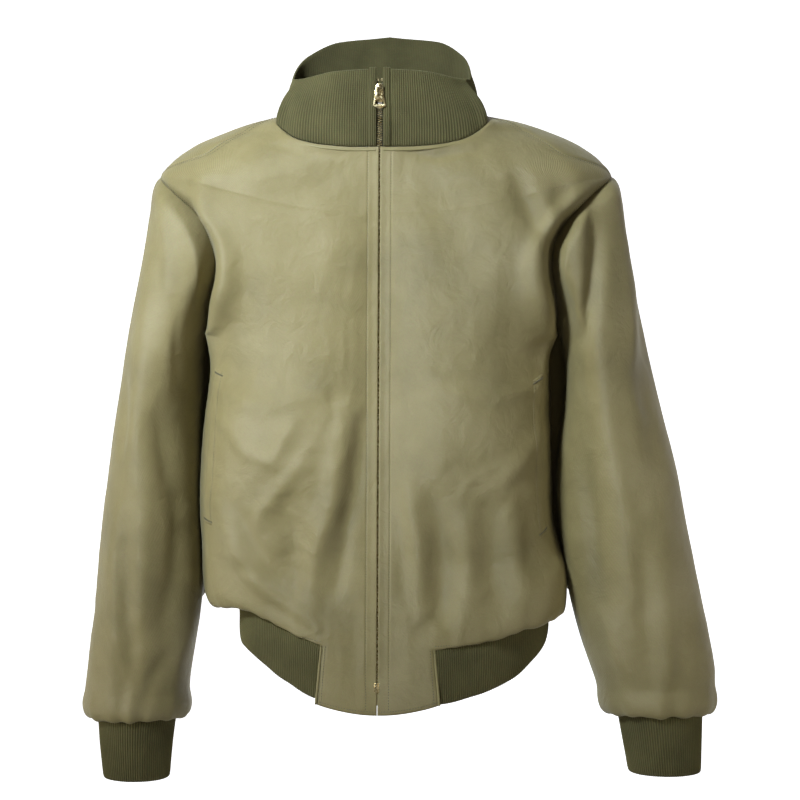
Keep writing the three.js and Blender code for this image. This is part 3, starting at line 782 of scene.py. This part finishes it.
def scaled(tree, value, factor, plus):
    return node(tree, "ShaderNodeMath", {"operation": "MULTIPLY_ADD"}, i0=value, i1=factor, i2=plus).outputs[0]


def bump(tree, height, strength, distance, **under):
    made = node(tree, "ShaderNodeBump", Strength=strength, Distance=distance, Height=height, **under)
    return made.outputs["Normal"]


def lines_every(tree, uv, spacing_mm, direction, distortion):
    """Stripes of a real spacing: a band texture repeats every pi / (10 * scale)."""
    return node(tree, "ShaderNodeTexWave", {"wave_type": "BANDS", "bands_direction": direction},
                Vector=uv, Scale=math.pi / (spacing_mm * MM * 10), Distortion=distortion).outputs


def twill_material(name, light, mid, dark, thread_mm=1.2, sheen=0.15):
    """Cotton twill: fine diagonal ridges, a soft dull sheen, and blotchy shade from handling."""
    material, tree, shader = new_material(name)
    coords = node(tree, "ShaderNodeTexCoord").outputs
    # Twill lines are about 0.6 mm apart; they are drawn coarser so that they show.
    turned = node(tree, "ShaderNodeMapping", Vector=coords["UV"], Rotation=(0, 0, math.radians(63)))
    lines = lines_every(tree, turned.outputs["Vector"], thread_mm, "X", 0.8)
    grain = node(tree, "ShaderNodeTexNoise", Vector=coords["UV"], Scale=900.0, Detail=2.0)
    blotch = node(tree, "ShaderNodeTexNoise", Vector=coords["Object"], Scale=14.0, Detail=5.0, Roughness=0.6)
    large = node(tree, "ShaderNodeTexNoise", Vector=coords["Object"], Scale=4.5, Detail=2.0)
    shade = scaled(tree, large.outputs["Fac"], 0.4, scaled(tree, blotch.outputs["Fac"], 0.6, 0.0))
    base = ramp(tree, shade, [(0.32, dark), (0.5, mid), (0.68, light)])
    fine = overlay(tree, "MULTIPLY", 0.17, base, lines["Color"])
    tree.links.new(overlay(tree, "OVERLAY", 0.18, fine, grain.outputs["Color"]), shader.inputs["Base Color"])
    crumple = node(tree, "ShaderNodeTexNoise", Vector=coords["Object"], Scale=38.0, Detail=4.0, Roughness=0.55,
                   Distortion=0.5)
    soft = bump(tree, crumple.outputs["Fac"], 0.5, 0.004)
    tree.links.new(bump(tree, lines["Fac"], 0.45, 0.0005, Normal=soft), shader.inputs["Normal"])
    shader.inputs["Roughness"].default_value = 0.56
    shader.inputs["Specular IOR Level"].default_value = 0.5
    shader.inputs["Sheen Weight"].default_value = sheen
    shader.inputs["Sheen Roughness"].default_value = 0.45
    shader.inputs["Sheen Tint"].default_value = linear("#d8dac0")
    return material


def knit_material(name, light, dark):
    """Cotton rib knit: deep grooves between ribs, painted darker in the colour as painted shade, a fuzzy matt
    face and small stitches.
    """
    material, tree, shader = new_material(name)
    coords = node(tree, "ShaderNodeTexCoord").outputs
    rib_painted_shade = node(tree, "ShaderNodeAttribute", {"attribute_name": "rib_painted_shade"}).outputs["Fac"]
    fuzz = node(tree, "ShaderNodeTexNoise", Vector=coords["Object"], Scale=1100.0, Detail=3.0).outputs
    worn = node(tree, "ShaderNodeTexNoise", Vector=coords["Object"], Scale=22.0, Detail=4.0, Roughness=0.6)
    # Painted shade: the grooves between ribs are darkened in the colour, on top of random worn patches.
    level = scaled(tree, worn.outputs["Fac"], 0.6, scaled(tree, rib_painted_shade, 0.45, 0.12))
    base = ramp(tree, level, [(0.2, dark), (0.9, light)])
    tree.links.new(overlay(tree, "OVERLAY", 0.35, base, fuzz["Color"]), shader.inputs["Base Color"])
    # Each stitch of the knit is about 1.6 mm tall along the rib.
    stitches = lines_every(tree, coords["UV"], 1.6, "Y", 0.6)
    rows = bump(tree, stitches["Fac"], 0.3, 0.0005)
    tree.links.new(bump(tree, fuzz["Fac"], 0.35, 0.0006, Normal=rows), shader.inputs["Normal"])
    shader.inputs["Roughness"].default_value = 0.95
    shader.inputs["Specular IOR Level"].default_value = 0.15
    shader.inputs["Sheen Weight"].default_value = 0.4
    shader.inputs["Sheen Roughness"].default_value = 0.6
    shader.inputs["Sheen Tint"].default_value = linear("#9a9670")
    return material


def brass_material(name):
    """Polished brass, a little tarnished in patches, with a fine bump from the same tarnish noise."""
    material, tree, shader = new_material(name)
    coords = node(tree, "ShaderNodeTexCoord").outputs
    tarnish = node(tree, "ShaderNodeTexNoise", Vector=coords["Object"], Scale=420.0, Detail=4.0).outputs["Fac"]
    tree.links.new(ramp(tree, tarnish, [(0.35, "#b5a06a"), (0.6, "#e2d3a2")]), shader.inputs["Base Color"])
    shader.inputs["Metallic"].default_value = 1.0
    rough = node(tree, "ShaderNodeMapRange", Value=tarnish, i3=0.18, i4=0.36)
    tree.links.new(rough.outputs[0], shader.inputs["Roughness"])
    tree.links.new(bump(tree, tarnish, 0.15, 0.0002), shader.inputs["Normal"])
    return material


def woven_material(name, light, dark, scale_mm=0.9):
    """Plain-woven tape or lining: a small over-and-under grid with a slight shade change."""
    material, tree, shader = new_material(name)
    coords = node(tree, "ShaderNodeTexCoord").outputs
    weave = node(tree, "ShaderNodeTexChecker", Vector=coords["Object"], Scale=1 / (scale_mm * MM)).outputs
    cloud = node(tree, "ShaderNodeTexNoise", Vector=coords["Object"], Scale=30.0, Detail=4.0)
    base = ramp(tree, cloud.outputs["Fac"], [(0.3, dark), (0.7, light)])
    tree.links.new(overlay(tree, "MULTIPLY", 0.16, base, weave["Color"]), shader.inputs["Base Color"])
    tree.links.new(bump(tree, weave["Fac"], 0.25, 0.0003), shader.inputs["Normal"])
    shader.inputs["Roughness"].default_value = 0.82
    shader.inputs["Sheen Weight"].default_value = 0.2
    return material


def thread_material(name, light, dark):
    """Spun polyester thread: matt, with a twist that catches a little light."""
    material, tree, shader = new_material(name)
    coords = node(tree, "ShaderNodeTexCoord").outputs
    twist = node(tree, "ShaderNodeTexNoise", Vector=coords["Object"], Scale=1500.0, Detail=2.0)
    tree.links.new(ramp(tree, twist.outputs["Fac"], [(0.35, dark), (0.65, light)]), shader.inputs["Base Color"])
    shader.inputs["Roughness"].default_value = 0.6
    shader.inputs["Sheen Weight"].default_value = 0.2
    return material


TWILL_CLOTH = twill_material("cotton_twill_khaki", "#9d9166", "#908456", "#7f7449")
KNIT_CLOTH = knit_material("cotton_rib_knit_olive", "#615c3a", "#2f2c19")
LINING_CLOTH = woven_material("cotton_lining_olive", "#6c6749", "#565238")
TAPE_CLOTH = woven_material("zip_tape_woven_olive", "#57523a", "#413d2a", 0.8)
BRASS = brass_material("polished_brass")
THREAD = thread_material("spun_thread_olive", "#6b6544", "#48442b")
LABEL_CLOTH = woven_material("label_satin_dark", "#3a382d", "#2a2820", 0.5)


# ---------------------------------------------------------------- sewing the cloth together
def turn_in_edges(p, first_column=0, depth=0.9, puff=0.3):
    """Seam edges sink a little and the cloth just beside them puffs up."""
    n = outward(p, grid_normals(p))
    lift = np.zeros(p.shape[:2])
    lift[1, first_column:] += puff
    lift[-2] += puff
    lift[:, -2] += puff
    lift[0, first_column:] = -depth
    lift[-1] = -depth
    lift[:, -1] = -depth
    return p + n * lift[..., None]


def join_edges(front, back, column):
    """Brings a front's outer edge and one edge of the back together along the side and shoulder."""
    gap = (back[:, column] - front[:, -1]) / 2
    rows = np.arange(len(gap))
    sewn = (rows <= ARM_LOW) | (rows >= ARM_HIGH)
    for axis in range(3):
        gap[:, axis] = np.interp(rows, rows[sewn], gap[sewn, axis])
    reach = 12
    for k in range(reach):
        share = 1 - smooth(k / reach)
        front[:, -1 - k] += gap * share
        back[:, column + k if column == 0 else -1 - k] -= gap * share


def sew_sleeve(sleeve, front, back, column):
    arm = slice(ARM_LOW, ARM_HIGH + 1)
    down_front = front[arm, -1][::-1]
    up_back = back[arm, column][1:-1]
    hole = np.concatenate([down_front, up_back])
    gap = hole - sleeve[0]
    reach = 6
    for k in range(reach):
        sleeve[k] += gap * (1 - smooth(k / reach))


def make_cloth():
    fronts, tails = {}, {}
    for name, side in SIDES:
        base, turn = front_grid(side)
        p = body_cloth(base, turn, BODY_SEED, FRONT_FOLDS, True)
        p = draw_back_front(p, side)
        last = int(np.argmin(np.abs(np.abs(base[0, :, 0]) - HEM_END_HALF)))
        p = turn_in_edges(p, last)
        tail = hem_grid(side, base[0])
        t = np.linspace(0, 1, HEM_ROWS + 1)[:-1, None, None]
        tail = tail + (p[0] - base[0])[None] * smooth(t)
        fronts[name], tails[name] = p, (tail, last)
    base, turn = back_grid()
    back = turn_in_edges(body_cloth(base, turn, BODY_SEED, BACK_FOLDS, False))
    back_n = outward(back, grid_normals(back))
    back[:, 0] -= back_n[:, 0] * 0.9
    sleeves = {}
    for name, side in SIDES:
        column = 0 if name == "right" else -1
        join_edges(fronts[name], back, column)
        p = sleeve_cloth(sleeve_grid(name), name)
        sew_sleeve(p, fronts[name], back, column)
        sleeves[name] = p
    return fronts, tails, back, sleeves


def behind(p, depth, ring=False, relax=4):
    """A layer set back from a panel, with the sharpest folds relaxed."""
    q = p.copy()
    for _ in range(relax):
        sides = (np.roll(q, 1, 1) + np.roll(q, -1, 1)) / 2
        if not ring:
            sides[:, 0], sides[:, -1] = q[:, 0], q[:, -1]
        ends = q.copy()
        ends[1:-1] = (q[2:] + q[:-2]) / 2
        q = (2 * q + sides + ends) / 4
    return q - outward(q, grid_normals(q, ring), ring) * depth


def sample(p, row, column):
    """Points of a grid at fractional rows and columns."""
    row, column = np.broadcast_arrays(np.asarray(row, float), np.asarray(column, float))
    i = np.clip(np.floor(row).astype(int), 0, p.shape[0] - 2)
    j = np.clip(np.floor(column).astype(int), 0, p.shape[1] - 2)
    a, b = (row - i)[..., None], (column - j)[..., None]
    return mix(mix(p[i, j], p[i, j + 1], b), mix(p[i + 1, j], p[i + 1, j + 1], b), a)


# ---------------------------------------------------------------- rib knit
def neck_line(fronts, back):
    """The neck seam as a function of the angle round from the front."""
    points = np.concatenate([fronts["right"][-1], fronts["left"][-1], back[-1]])
    turn = np.degrees(np.arctan2(points[:, 0], -points[:, 1])) % 360
    order = np.argsort(turn)
    turn, points = turn[order], points[order]

    def at(angle):
        degrees = np.degrees(angle) % 360
        return np.stack([np.interp(degrees, turn, points[:, k], period=360) for k in range(3)], -1)
    return at


def collar_point(angle, t):
    angle, t = np.broadcast_arrays(np.asarray(angle, float), np.asarray(t, float))
    c, s = np.cos(angle), np.sin(angle)
    low = neck_at(angle)
    top = gentle(COLLAR_TURNS, COLLAR_TOPS, np.abs(degrees_round(angle)))
    depth = np.where(c > 0, COLLAR_HALF["front"], COLLAR_HALF["back"])
    width = np.where(s > 0, COLLAR_HALF["left"], COLLAR_HALF["right"])
    r = ((np.abs(s) / width) ** COLLAR_SQUARE + (np.abs(c) / depth) ** COLLAR_SQUARE) ** (-1 / COLLAR_SQUARE)
    high = np.stack([r * s, -r * c, top], -1)
    p = mix(low, high, t[..., None])
    belly = 6 * np.sin(np.pi * np.minimum(t * 1.1, 1)) * s ** 2 * smooth((c + 0.6) / 0.5)
    p[..., 0] += belly * np.sign(s)
    p[..., 1] -= 2.5 * np.sin(np.pi * t) * smooth((c - 0.2) / 0.4)
    return p


def knit_band(name, path, rows, ring=False, thickness=KNIT, pitch=RIB_PITCH, wander=1.0):
    """A rib-knit band. path(u, v) gives its smooth surface; ribs run along v."""
    probe = path(np.linspace(0, 1, 400)[None, :], np.array([[0.5]]))[0]
    length = np.linalg.norm(np.diff(probe, axis=0), axis=1).sum()
    ribs = int(round(length / pitch))
    columns = ribs * RIB_COLUMNS + (0 if ring else 1)
    k = np.arange(columns)
    u = (k / (ribs * RIB_COLUMNS))[None, :]
    v = np.linspace(0, 1, rows)[:, None]
    p = path(u + 0 * v, v + 0 * u)
    n = outward(p, grid_normals(p, ring), ring)
    rib = np.cos(2 * np.pi * k / RIB_COLUMNS)[None, :] + 0 * v
    around = u * length
    wave = wander * soft_noise(around, v * 60, 34, 77) + 0.5 * wander * soft_noise(around, v * 60, 15, 78)
    p = p + n * (0.5 * rib + wave)[..., None]
    obj = grid_mesh(name, p, n, ring)
    # Painted shade mask: 1 on the rib crests and 0 in the grooves; the knit material paints the grooves darker.
    rib_painted_shade = obj.data.attributes.new("rib_painted_shade", "FLOAT", "POINT")
    rib_painted_shade.data.foreach_set("value", (0.5 + 0.5 * rib).ravel().astype(np.float32))
    thicken(obj, thickness)
    sub = obj.modifiers.new("fine", "SUBSURF")
    sub.levels = sub.render_levels = 1
    apply_modifiers(obj)
    shade_smooth(obj)
    return obj


def edge_angle(distance, z):
    return np.arctan(distance / front_depth(z))


def collar_path(u, v):
    first = edge_angle(13.0, 20)
    return collar_point(mix(first, 2 * np.pi - first, u), v)


def collar_strip_path(side):
    def path(u, v):
        angle = side * mix(edge_angle(ZIP_EDGE + 0.4, 20), edge_angle(12.0, 20), u)
        p = collar_point(angle, v * 1.02)
        p[..., 1] -= 1.8 * np.sin(np.pi * u) ** 0.5
        return p
    return path


def hem_path(u, v):
    angle = mix(hem_turns[0], 2 * np.pi + hem_turns[1], u)
    top = seam_height(angle) + 2.5
    z = mix(top - RIB_HEIGHT, top, v)
    p = seam_point(angle, z)
    flat = np.stack([np.sin(angle), -np.cos(angle), 0 * angle], -1)
    under = 1.6 * smooth((v - 0.88) / 0.12)
    return p - flat * under[..., None]


def cuff_path(side):
    last = len(SLEEVES[side]) - 1

    def path(u, v):
        turn = 2 * np.pi * u
        return sleeve_ring(side, turn, mix(last, CUFF_FROM + 0.02, v))
    return path


# ---------------------------------------------------------------- thread
def stitch_points(points, normals, pitch=STITCH, long=2.2, wide=0.8, high=0.5, across=False):
    """Stitches in a row along a line: each a small pointed solid lying on the cloth."""
    steps = np.linalg.norm(np.diff(points, axis=0), axis=1)
    run = np.concatenate([[0], np.cumsum(steps)])
    count = max(int(run[-1] / pitch), 1)
    at = (np.arange(count) + 0.5) * run[-1] / count

    def along(values, places):
        return np.stack([np.interp(places, run, values[:, a]) for a in range(3)], -1)

    middle, normal = along(points, at), along(normals, at)
    way = along(points, at + 0.4) - along(points, at - 0.4)
    way /= np.linalg.norm(way, axis=1, keepdims=True) + 1e-9
    cross = np.cross(normal, way)
    if across:
        way, cross = cross, way
    a, b, c = way * long / 2, cross * wide / 2, normal * high
    corners = np.stack([middle - a, middle + b + c * 0.2, middle + a, middle - b + c * 0.2,
                        middle + c, middle - c * 0.6], 1)
    faces = [(0, 1, 4), (1, 2, 4), (2, 3, 4), (3, 0, 4), (1, 0, 5), (2, 1, 5), (3, 2, 5), (0, 3, 5)]
    return corners.reshape(-1, 3), [tuple(i + 6 * k for i in f) for k in range(count) for f in faces]


def thread_object(name, rows):
    """Joins rows of stitches, each given as (points, normals, settings), into one piece."""
    points, faces, start = [], [], 0
    for line, normals, settings in rows:
        p, f = stitch_points(line, normals, **settings)
        points.append(p)
        faces += [tuple(i + start for i in face) for face in f]
        start += len(p)
    obj = new_mesh(name, np.concatenate(points), faces)
    face_outwards(obj)
    shade_smooth(obj)
    return obj


def inset_column(p, rows, distance, from_end):
    """A line at a set distance from a grid's first or last column, with its normals."""
    n = outward(p, grid_normals(p))
    points, normals = [], []
    for j in rows:
        row, row_n = (p[j, ::-1], n[j, ::-1]) if from_end else (p[j], n[j])
        run = np.concatenate([[0], np.cumsum(np.linalg.norm(np.diff(row, axis=0), axis=1))])
        points.append([np.interp(distance, run, row[:, a]) for a in range(3)])
        normals.append([np.interp(distance, run, row_n[:, a]) for a in range(3)])
    return np.array(points), np.array(normals)


def inset_row(p, columns, distance):
    """A line at a set distance above a grid's first row, with its normals."""
    turned = np.swapaxes(p, 0, 1)
    return inset_column(turned, columns, distance, False)


def tube(name, line, radius, sides=8):
    """A rounded ridge of folded cloth along a line, closed at both ends."""
    line = np.asarray(line)
    way = np.gradient(line, axis=0)
    way /= np.linalg.norm(way, axis=1, keepdims=True)
    first = np.cross(way, [0, 0, 1.0])
    first /= np.linalg.norm(first, axis=1, keepdims=True)
    second = np.cross(way, first)
    turn = np.linspace(0, 2 * np.pi, sides, endpoint=False)
    ring = first[:, None] * np.cos(turn)[None, :, None] + second[:, None] * np.sin(turn)[None, :, None]
    points = (line[:, None] + ring * radius).reshape(-1, 3)
    faces = grid_faces(len(line), sides, ring=True)
    faces += [tuple(range(sides))[::-1], tuple(range(len(points) - sides, len(points)))]
    obj = new_mesh(name, points, faces)
    face_outwards(obj)
    shade_smooth(obj, 50)
    return obj


# ---------------------------------------------------------------- the zip
TOOTH_IN = -0.35          # the two rows mesh, so that each tooth reaches past the middle
TOOTH_OUT = 2.6
TOOTH_PITCH = 2.5
TOOTH_MID = 1.4
TAPE_EDGES = (2.1, 12.5)
ZIP_TOP = 34
ZIP_BOTTOM = -614
LEAN_LENGTH = math.hypot(1, ZIP_LEAN)
TO_ZIP = Matrix.Translation((0, -ZIP_FRONT * MM, 0)) @ Matrix.Rotation(-math.atan(ZIP_LEAN), 4, "X")


def on_zip(points):
    """Points on a vertical zip, in mm, laid back onto the front edge."""
    points = np.asarray(points, float)
    matrix = np.array(TO_ZIP)
    moved = points @ matrix[:3, :3].T
    return moved + matrix[:3, 3] / MM


def tooth_row(name, side):
    """One moulded brass tooth, arrayed up the tape."""
    deselect_all()
    bpy.ops.mesh.primitive_cube_add(size=1)
    obj = bpy.context.object
    obj.name = name
    bpy.ops.object.mode_set(mode="EDIT")
    bpy.ops.mesh.select_all(action="SELECT")
    width = TOOTH_OUT - TOOTH_IN
    bpy.ops.transform.resize(value=(width * MM, 2.4 * MM, 1.15 * MM))
    bpy.ops.object.mode_set(mode="OBJECT")
    low = ZIP_BOTTOM * LEAN_LENGTH + 14 + (TOOTH_PITCH / 2 if side > 0 else 0)
    high = 10
    obj.data.transform(Matrix.Translation((side * (TOOTH_IN + width / 2) * MM, TOOTH_MID * MM, low * MM)))
    bevel = obj.modifiers.new("rounded", "BEVEL")
    bevel.width = 0.35 * MM
    bevel.segments = 1
    array = obj.modifiers.new("row", "ARRAY")
    array.use_relative_offset = False
    array.use_constant_offset = True
    array.constant_offset_displace = (0, 0, TOOTH_PITCH * MM)
    array.count = int((high - low) / TOOTH_PITCH)
    apply_modifiers(obj)
    obj.data.transform(TO_ZIP)
    shade_smooth(obj, 35)
    return obj


def softened_copy(node_name, name, width, segments=2, angle=40):
    """A CAD metal part with its edges rounded."""
    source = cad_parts[node_name]
    obj = bpy.data.objects.new(name, source.data.copy())
    obj.data.materials.clear()
    bpy.context.scene.collection.objects.link(obj)
    mesh = bmesh.new()
    mesh.from_mesh(obj.data)
    bmesh.ops.remove_doubles(mesh, verts=mesh.verts, dist=0.00002)
    bmesh.ops.dissolve_limit(mesh, angle_limit=math.radians(1), verts=mesh.verts, edges=mesh.edges)
    mesh.to_mesh(obj.data)
    mesh.free()
    bevel = obj.modifiers.new("rounded", "BEVEL")
    bevel.width = width * MM
    bevel.segments = segments
    bevel.limit_method = "ANGLE"
    bevel.angle_limit = math.radians(angle)
    bevel.harden_normals = False
    apply_modifiers(obj)
    shade_smooth(obj, 35)
    return obj


# ---------------------------------------------------------------- building it all
EASE_ROWS = 9             # rows above the waist seam that linings leave free
FACING_COLUMNS = 13
LINING_FROM = 16          # column of a front where its lining takes over from the facing
BAG = (slice(15, 45), slice(24, 43))
WELT_ROWS = (19, 47)
WELT_COLUMNS = (41.6, 45.2)
WELT_ARCH = (-0.3, 0.6, 1.0, 1.0, 0.8, -0.3)     # how far the welt stands out across its width
ZIP_STITCH = 11.7         # topstitch's distance from the front edge
SEAM_STITCHES = (2.2, 8.0)
HEM_STITCH = 4.2


def finish_piece(obj, material, body=BODY_PART, nodes=()):
    obj.data.materials.clear()
    obj.data.materials.append(material)
    if body:
        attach(obj, body)
    if nodes:
        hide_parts(*nodes)
    return obj


def blend_sleeve(obj):
    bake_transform(obj)


def sew(line, normals, **settings):
    """Adds a row of stitches along a line on the cloth."""
    stitch_rows.append((line, normals, settings))


def make_front(name, whole_front, last):
    """The front panel, and the layers behind it."""
    front = fronts[name]
    piece = cloth_sheet(f"front_panel_cloth_{name}", whole_front, TWILL,
                        skip=lambda j, i: j < HEM_ROWS and i >= last)
    finish_piece(piece, TWILL_CLOTH, nodes=[f"front_panel_{name}"])

    lining_grid = behind(front, 7.0)[EASE_ROWS:-3, LINING_FROM:-4]
    lining = cloth_sheet(f"front_lining_cloth_{name}", lining_grid, LINING, levels=0)
    finish_piece(lining, LINING_CLOTH, nodes=[f"lining_front_{name}"])

    facing_grid = behind(whole_front, 3.4)[2:-4, :FACING_COLUMNS]
    facing_grid[:, :5, 1] += 2.2
    if name == "right":
        # It laps past the middle, to back the zip.
        facing_grid[:, 0, 0] = 4.0
    facing = cloth_sheet(f"front_facing_cloth_{name}", facing_grid, LINING, levels=0)
    finish_piece(facing, TWILL_CLOTH, nodes=[f"front_facing_{name}"])

    bag = cloth_sheet(f"pocket_bag_cloth_{name}", behind(front, 3.0)[BAG], 0.5, levels=0)
    finish_piece(bag, LINING_CLOTH, nodes=[f"pocket_bag_{name}"])


def make_welt(name):
    """The pocket's welt, with its edge stitching and a bar tack at each end."""
    rows = np.linspace(*WELT_ROWS, 46)[:, None]
    columns = np.linspace(*WELT_COLUMNS, 6)[None, :]
    welt_grid = sample(fronts[name], rows, columns)
    welt_n = outward(welt_grid, grid_normals(welt_grid))
    welt_grid = welt_grid + welt_n * np.array(WELT_ARCH)[None, :, None]
    welt = cloth_sheet(f"pocket_welt_cloth_{name}", welt_grid, 0.9)
    finish_piece(welt, TWILL_CLOTH, nodes=[f"pocket_welt_{name}"])
    sew(*inset_column(welt_grid, range(46), 3.2, False))
    for j in (1, -2):
        sew(welt_grid[j], welt_n[j], pitch=0.8, long=2.4, across=True, high=0.7)


def stitch_front(name, whole_front, whole_n, last):
    """Topstitching down the front edge, round the armhole, over the shoulder and along the hem."""
    front = fronts[name]
    sew(*inset_column(front, range(2, len(ROWS) - 1), ZIP_STITCH, False))
    arm = range(ARM_LOW, ARM_HIGH + 1)
    for distance in SEAM_STITCHES:
        sew(*inset_column(front, arm, distance, True))
        sew(*inset_column(back, arm, distance, name == "left"))
    for distance in SEAM_STITCHES:
        sew(*inset_column(front, range(ARM_HIGH + 1, len(ROWS)), distance, True))
    sew(*inset_row(front, range(last, front.shape[1]), HEM_STITCH))
    sew(*inset_row(whole_front, range(last + 1), 4.0))
    sew(*inset_column(whole_front, range(1, HEM_ROWS), ZIP_STITCH, False))
    sew(whole_front[:HEM_ROWS + 1, last - 1], whole_n[:HEM_ROWS + 1, last - 1])
    piping_line = whole_front[:HEM_ROWS + 1, last] + whole_n[:HEM_ROWS + 1, last] * 0.6
    finish_piece(tube(f"hem_piping_{name}", piping_line, 1.3), TWILL_CLOTH)


def make_sleeve(name):
    sleeve = cloth_sheet(f"sleeve_cloth_{name}", sleeves[name], TWILL, ring=True)
    finish_piece(sleeve, TWILL_CLOTH, body=None, nodes=[f"sleeve_{name}"])
    blend_sleeve(sleeve)

    inner_grid = behind(sleeves[name], 6.0, True)[12:-5]
    inner = cloth_sheet(f"sleeve_lining_cloth_{name}", inner_grid, LINING, ring=True, levels=0)
    finish_piece(inner, LINING_CLOTH, body=None, nodes=[f"lining_sleeve_{name}"])
    blend_sleeve(inner)

    cuff = knit_band(f"cuff_knit_{name}", cuff_path(name), 8, ring=True, wander=0.6)
    finish_piece(cuff, KNIT_CLOTH, body=f"{name}_sleeve", nodes=[f"cuff_rib_{name}"])


def make_zip_side(name, side):
    """The knit strip, tape and teeth on one side of the front."""
    strip = knit_band(f"collar_strip_knit_{name}", collar_strip_path(side), 9, thickness=1.8, wander=0.2)
    finish_piece(strip, KNIT_CLOTH, nodes=[f"collar_strip_{name}"])

    low, high = ZIP_BOTTOM * LEAN_LENGTH, ZIP_TOP * LEAN_LENGTH
    tape_x, tape_z = np.meshgrid(side * np.linspace(*TAPE_EDGES, 5), np.linspace(low, high, 60))
    tape_grid = on_zip(np.stack([tape_x, 0 * tape_x + TOOTH_MID + 1.6, tape_z], -1))
    tape = cloth_sheet(f"zip_tape_cloth_{name}", tape_grid, 0.6, levels=0)
    finish_piece(tape, TAPE_CLOTH, nodes=[f"zip_tape_{name}"])
    finish_piece(tooth_row(f"zip_teeth_brass_{name}", side), BRASS, nodes=[f"zip_teeth_{name}"])


def make_back():
    piece = cloth_sheet("back_panel_cloth", back, TWILL)
    finish_piece(piece, TWILL_CLOTH, nodes=["back_panel"])
    lining = cloth_sheet("back_lining_cloth", behind(back, 7.0)[EASE_ROWS:-3, 3:-3], LINING, levels=0)
    finish_piece(lining, LINING_CLOTH, nodes=["lining_back"])
    sew(*inset_row(back, range(back.shape[1]), HEM_STITCH))


def make_hem_and_collar():
    hem = knit_band("hem_rib_knit", hem_path, 8, wander=1.0)
    finish_piece(hem, KNIT_CLOTH, nodes=["hem_rib"])
    collar = knit_band("collar_rib_knit", collar_path, 10, wander=0.8)
    finish_piece(collar, KNIT_CLOTH, nodes=["collar_rib"])


def make_neck_piping():
    first = edge_angle(4, -40)
    turns = np.linspace(first, 2 * np.pi - first, 160)
    outwards = np.stack([np.sin(turns), -np.cos(turns), 0 * turns], -1)
    line = neck_at(turns) + np.array([0, 0, -3.2]) + 0.8 * outwards
    finish_piece(tube("neck_piping", line, 1.5), TWILL_CLOTH)


def make_metal():
    """Slider, pull and retainer box with softened edges; the smallest pieces keep their own shape."""
    for name, source, width, body in (
        ("zip_slider", "slider_brass", 0.5, "slider"),
        ("zip_pull", "pull_tab_brass", 0.35, "pull_tab"),
        ("zip_retainer_box", "retainer_box_brass", 0.5, BODY_PART),
    ):
        finish_piece(softened_copy(name, source, width), BRASS, body=body, nodes=[name])
    for name in ("zip_top_stop_right", "zip_top_stop_left", "zip_insertion_pin"):
        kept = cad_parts[name]
        kept.data.materials.clear()
        kept.data.materials.append(BRASS)


def make_hanger_loop():
    """A flat tape that stands off the back neck, sewn down at both ends."""
    along, z = np.meshgrid(np.linspace(-1, 1, 41), np.linspace(-5, 5, 5))
    away = 52 + 9.5 * smooth((np.abs(along) - 0.78) / 0.16)
    loop = cloth_sheet("hanger_loop_tape", np.stack([along * 31, away, 4 + z], -1), 0.9)
    finish_piece(loop, TAPE_CLOTH, nodes=["hanger_loop"])


def make_label():
    tilt = 0.28
    x, t = np.meshgrid(np.linspace(-28, 28, 15), np.linspace(-17, 17, 10))
    grid = np.stack([x, 69.8 - t * math.sin(tilt) + 0 * x, -40 + t * math.cos(tilt)], -1)
    label = cloth_sheet("neck_label_satin", grid, 0.5)
    finish_piece(label, LABEL_CLOTH, nodes=["neck_label"])


fronts, tails, back, sleeves = make_cloth()
neck_at = neck_line(fronts, back)
hem_turns = {}
stitch_rows = []
for name, side in SIDES:
    tail, last = tails[name]
    whole_front = np.concatenate([tail, fronts[name]])
    whole_n = outward(whole_front, grid_normals(whole_front))
    whole_front[:HEM_ROWS, last] -= whole_n[:HEM_ROWS, last] * 0.8
    whole_front[0] -= whole_n[0] * 0.6
    corner = tail[HEM_ROWS // 2, last]
    hem_turns[0 if side > 0 else 1] = math.atan2(corner[0], -corner[1])
    make_front(name, whole_front, last)
    make_welt(name)
    stitch_front(name, whole_front, whole_n, last)
    make_sleeve(name)
    make_zip_side(name, side)
make_back()
make_hem_and_collar()
finish_piece(thread_object("topstitching", stitch_rows), THREAD)
make_neck_piping()
make_metal()
make_hanger_loop()
make_label()

look()
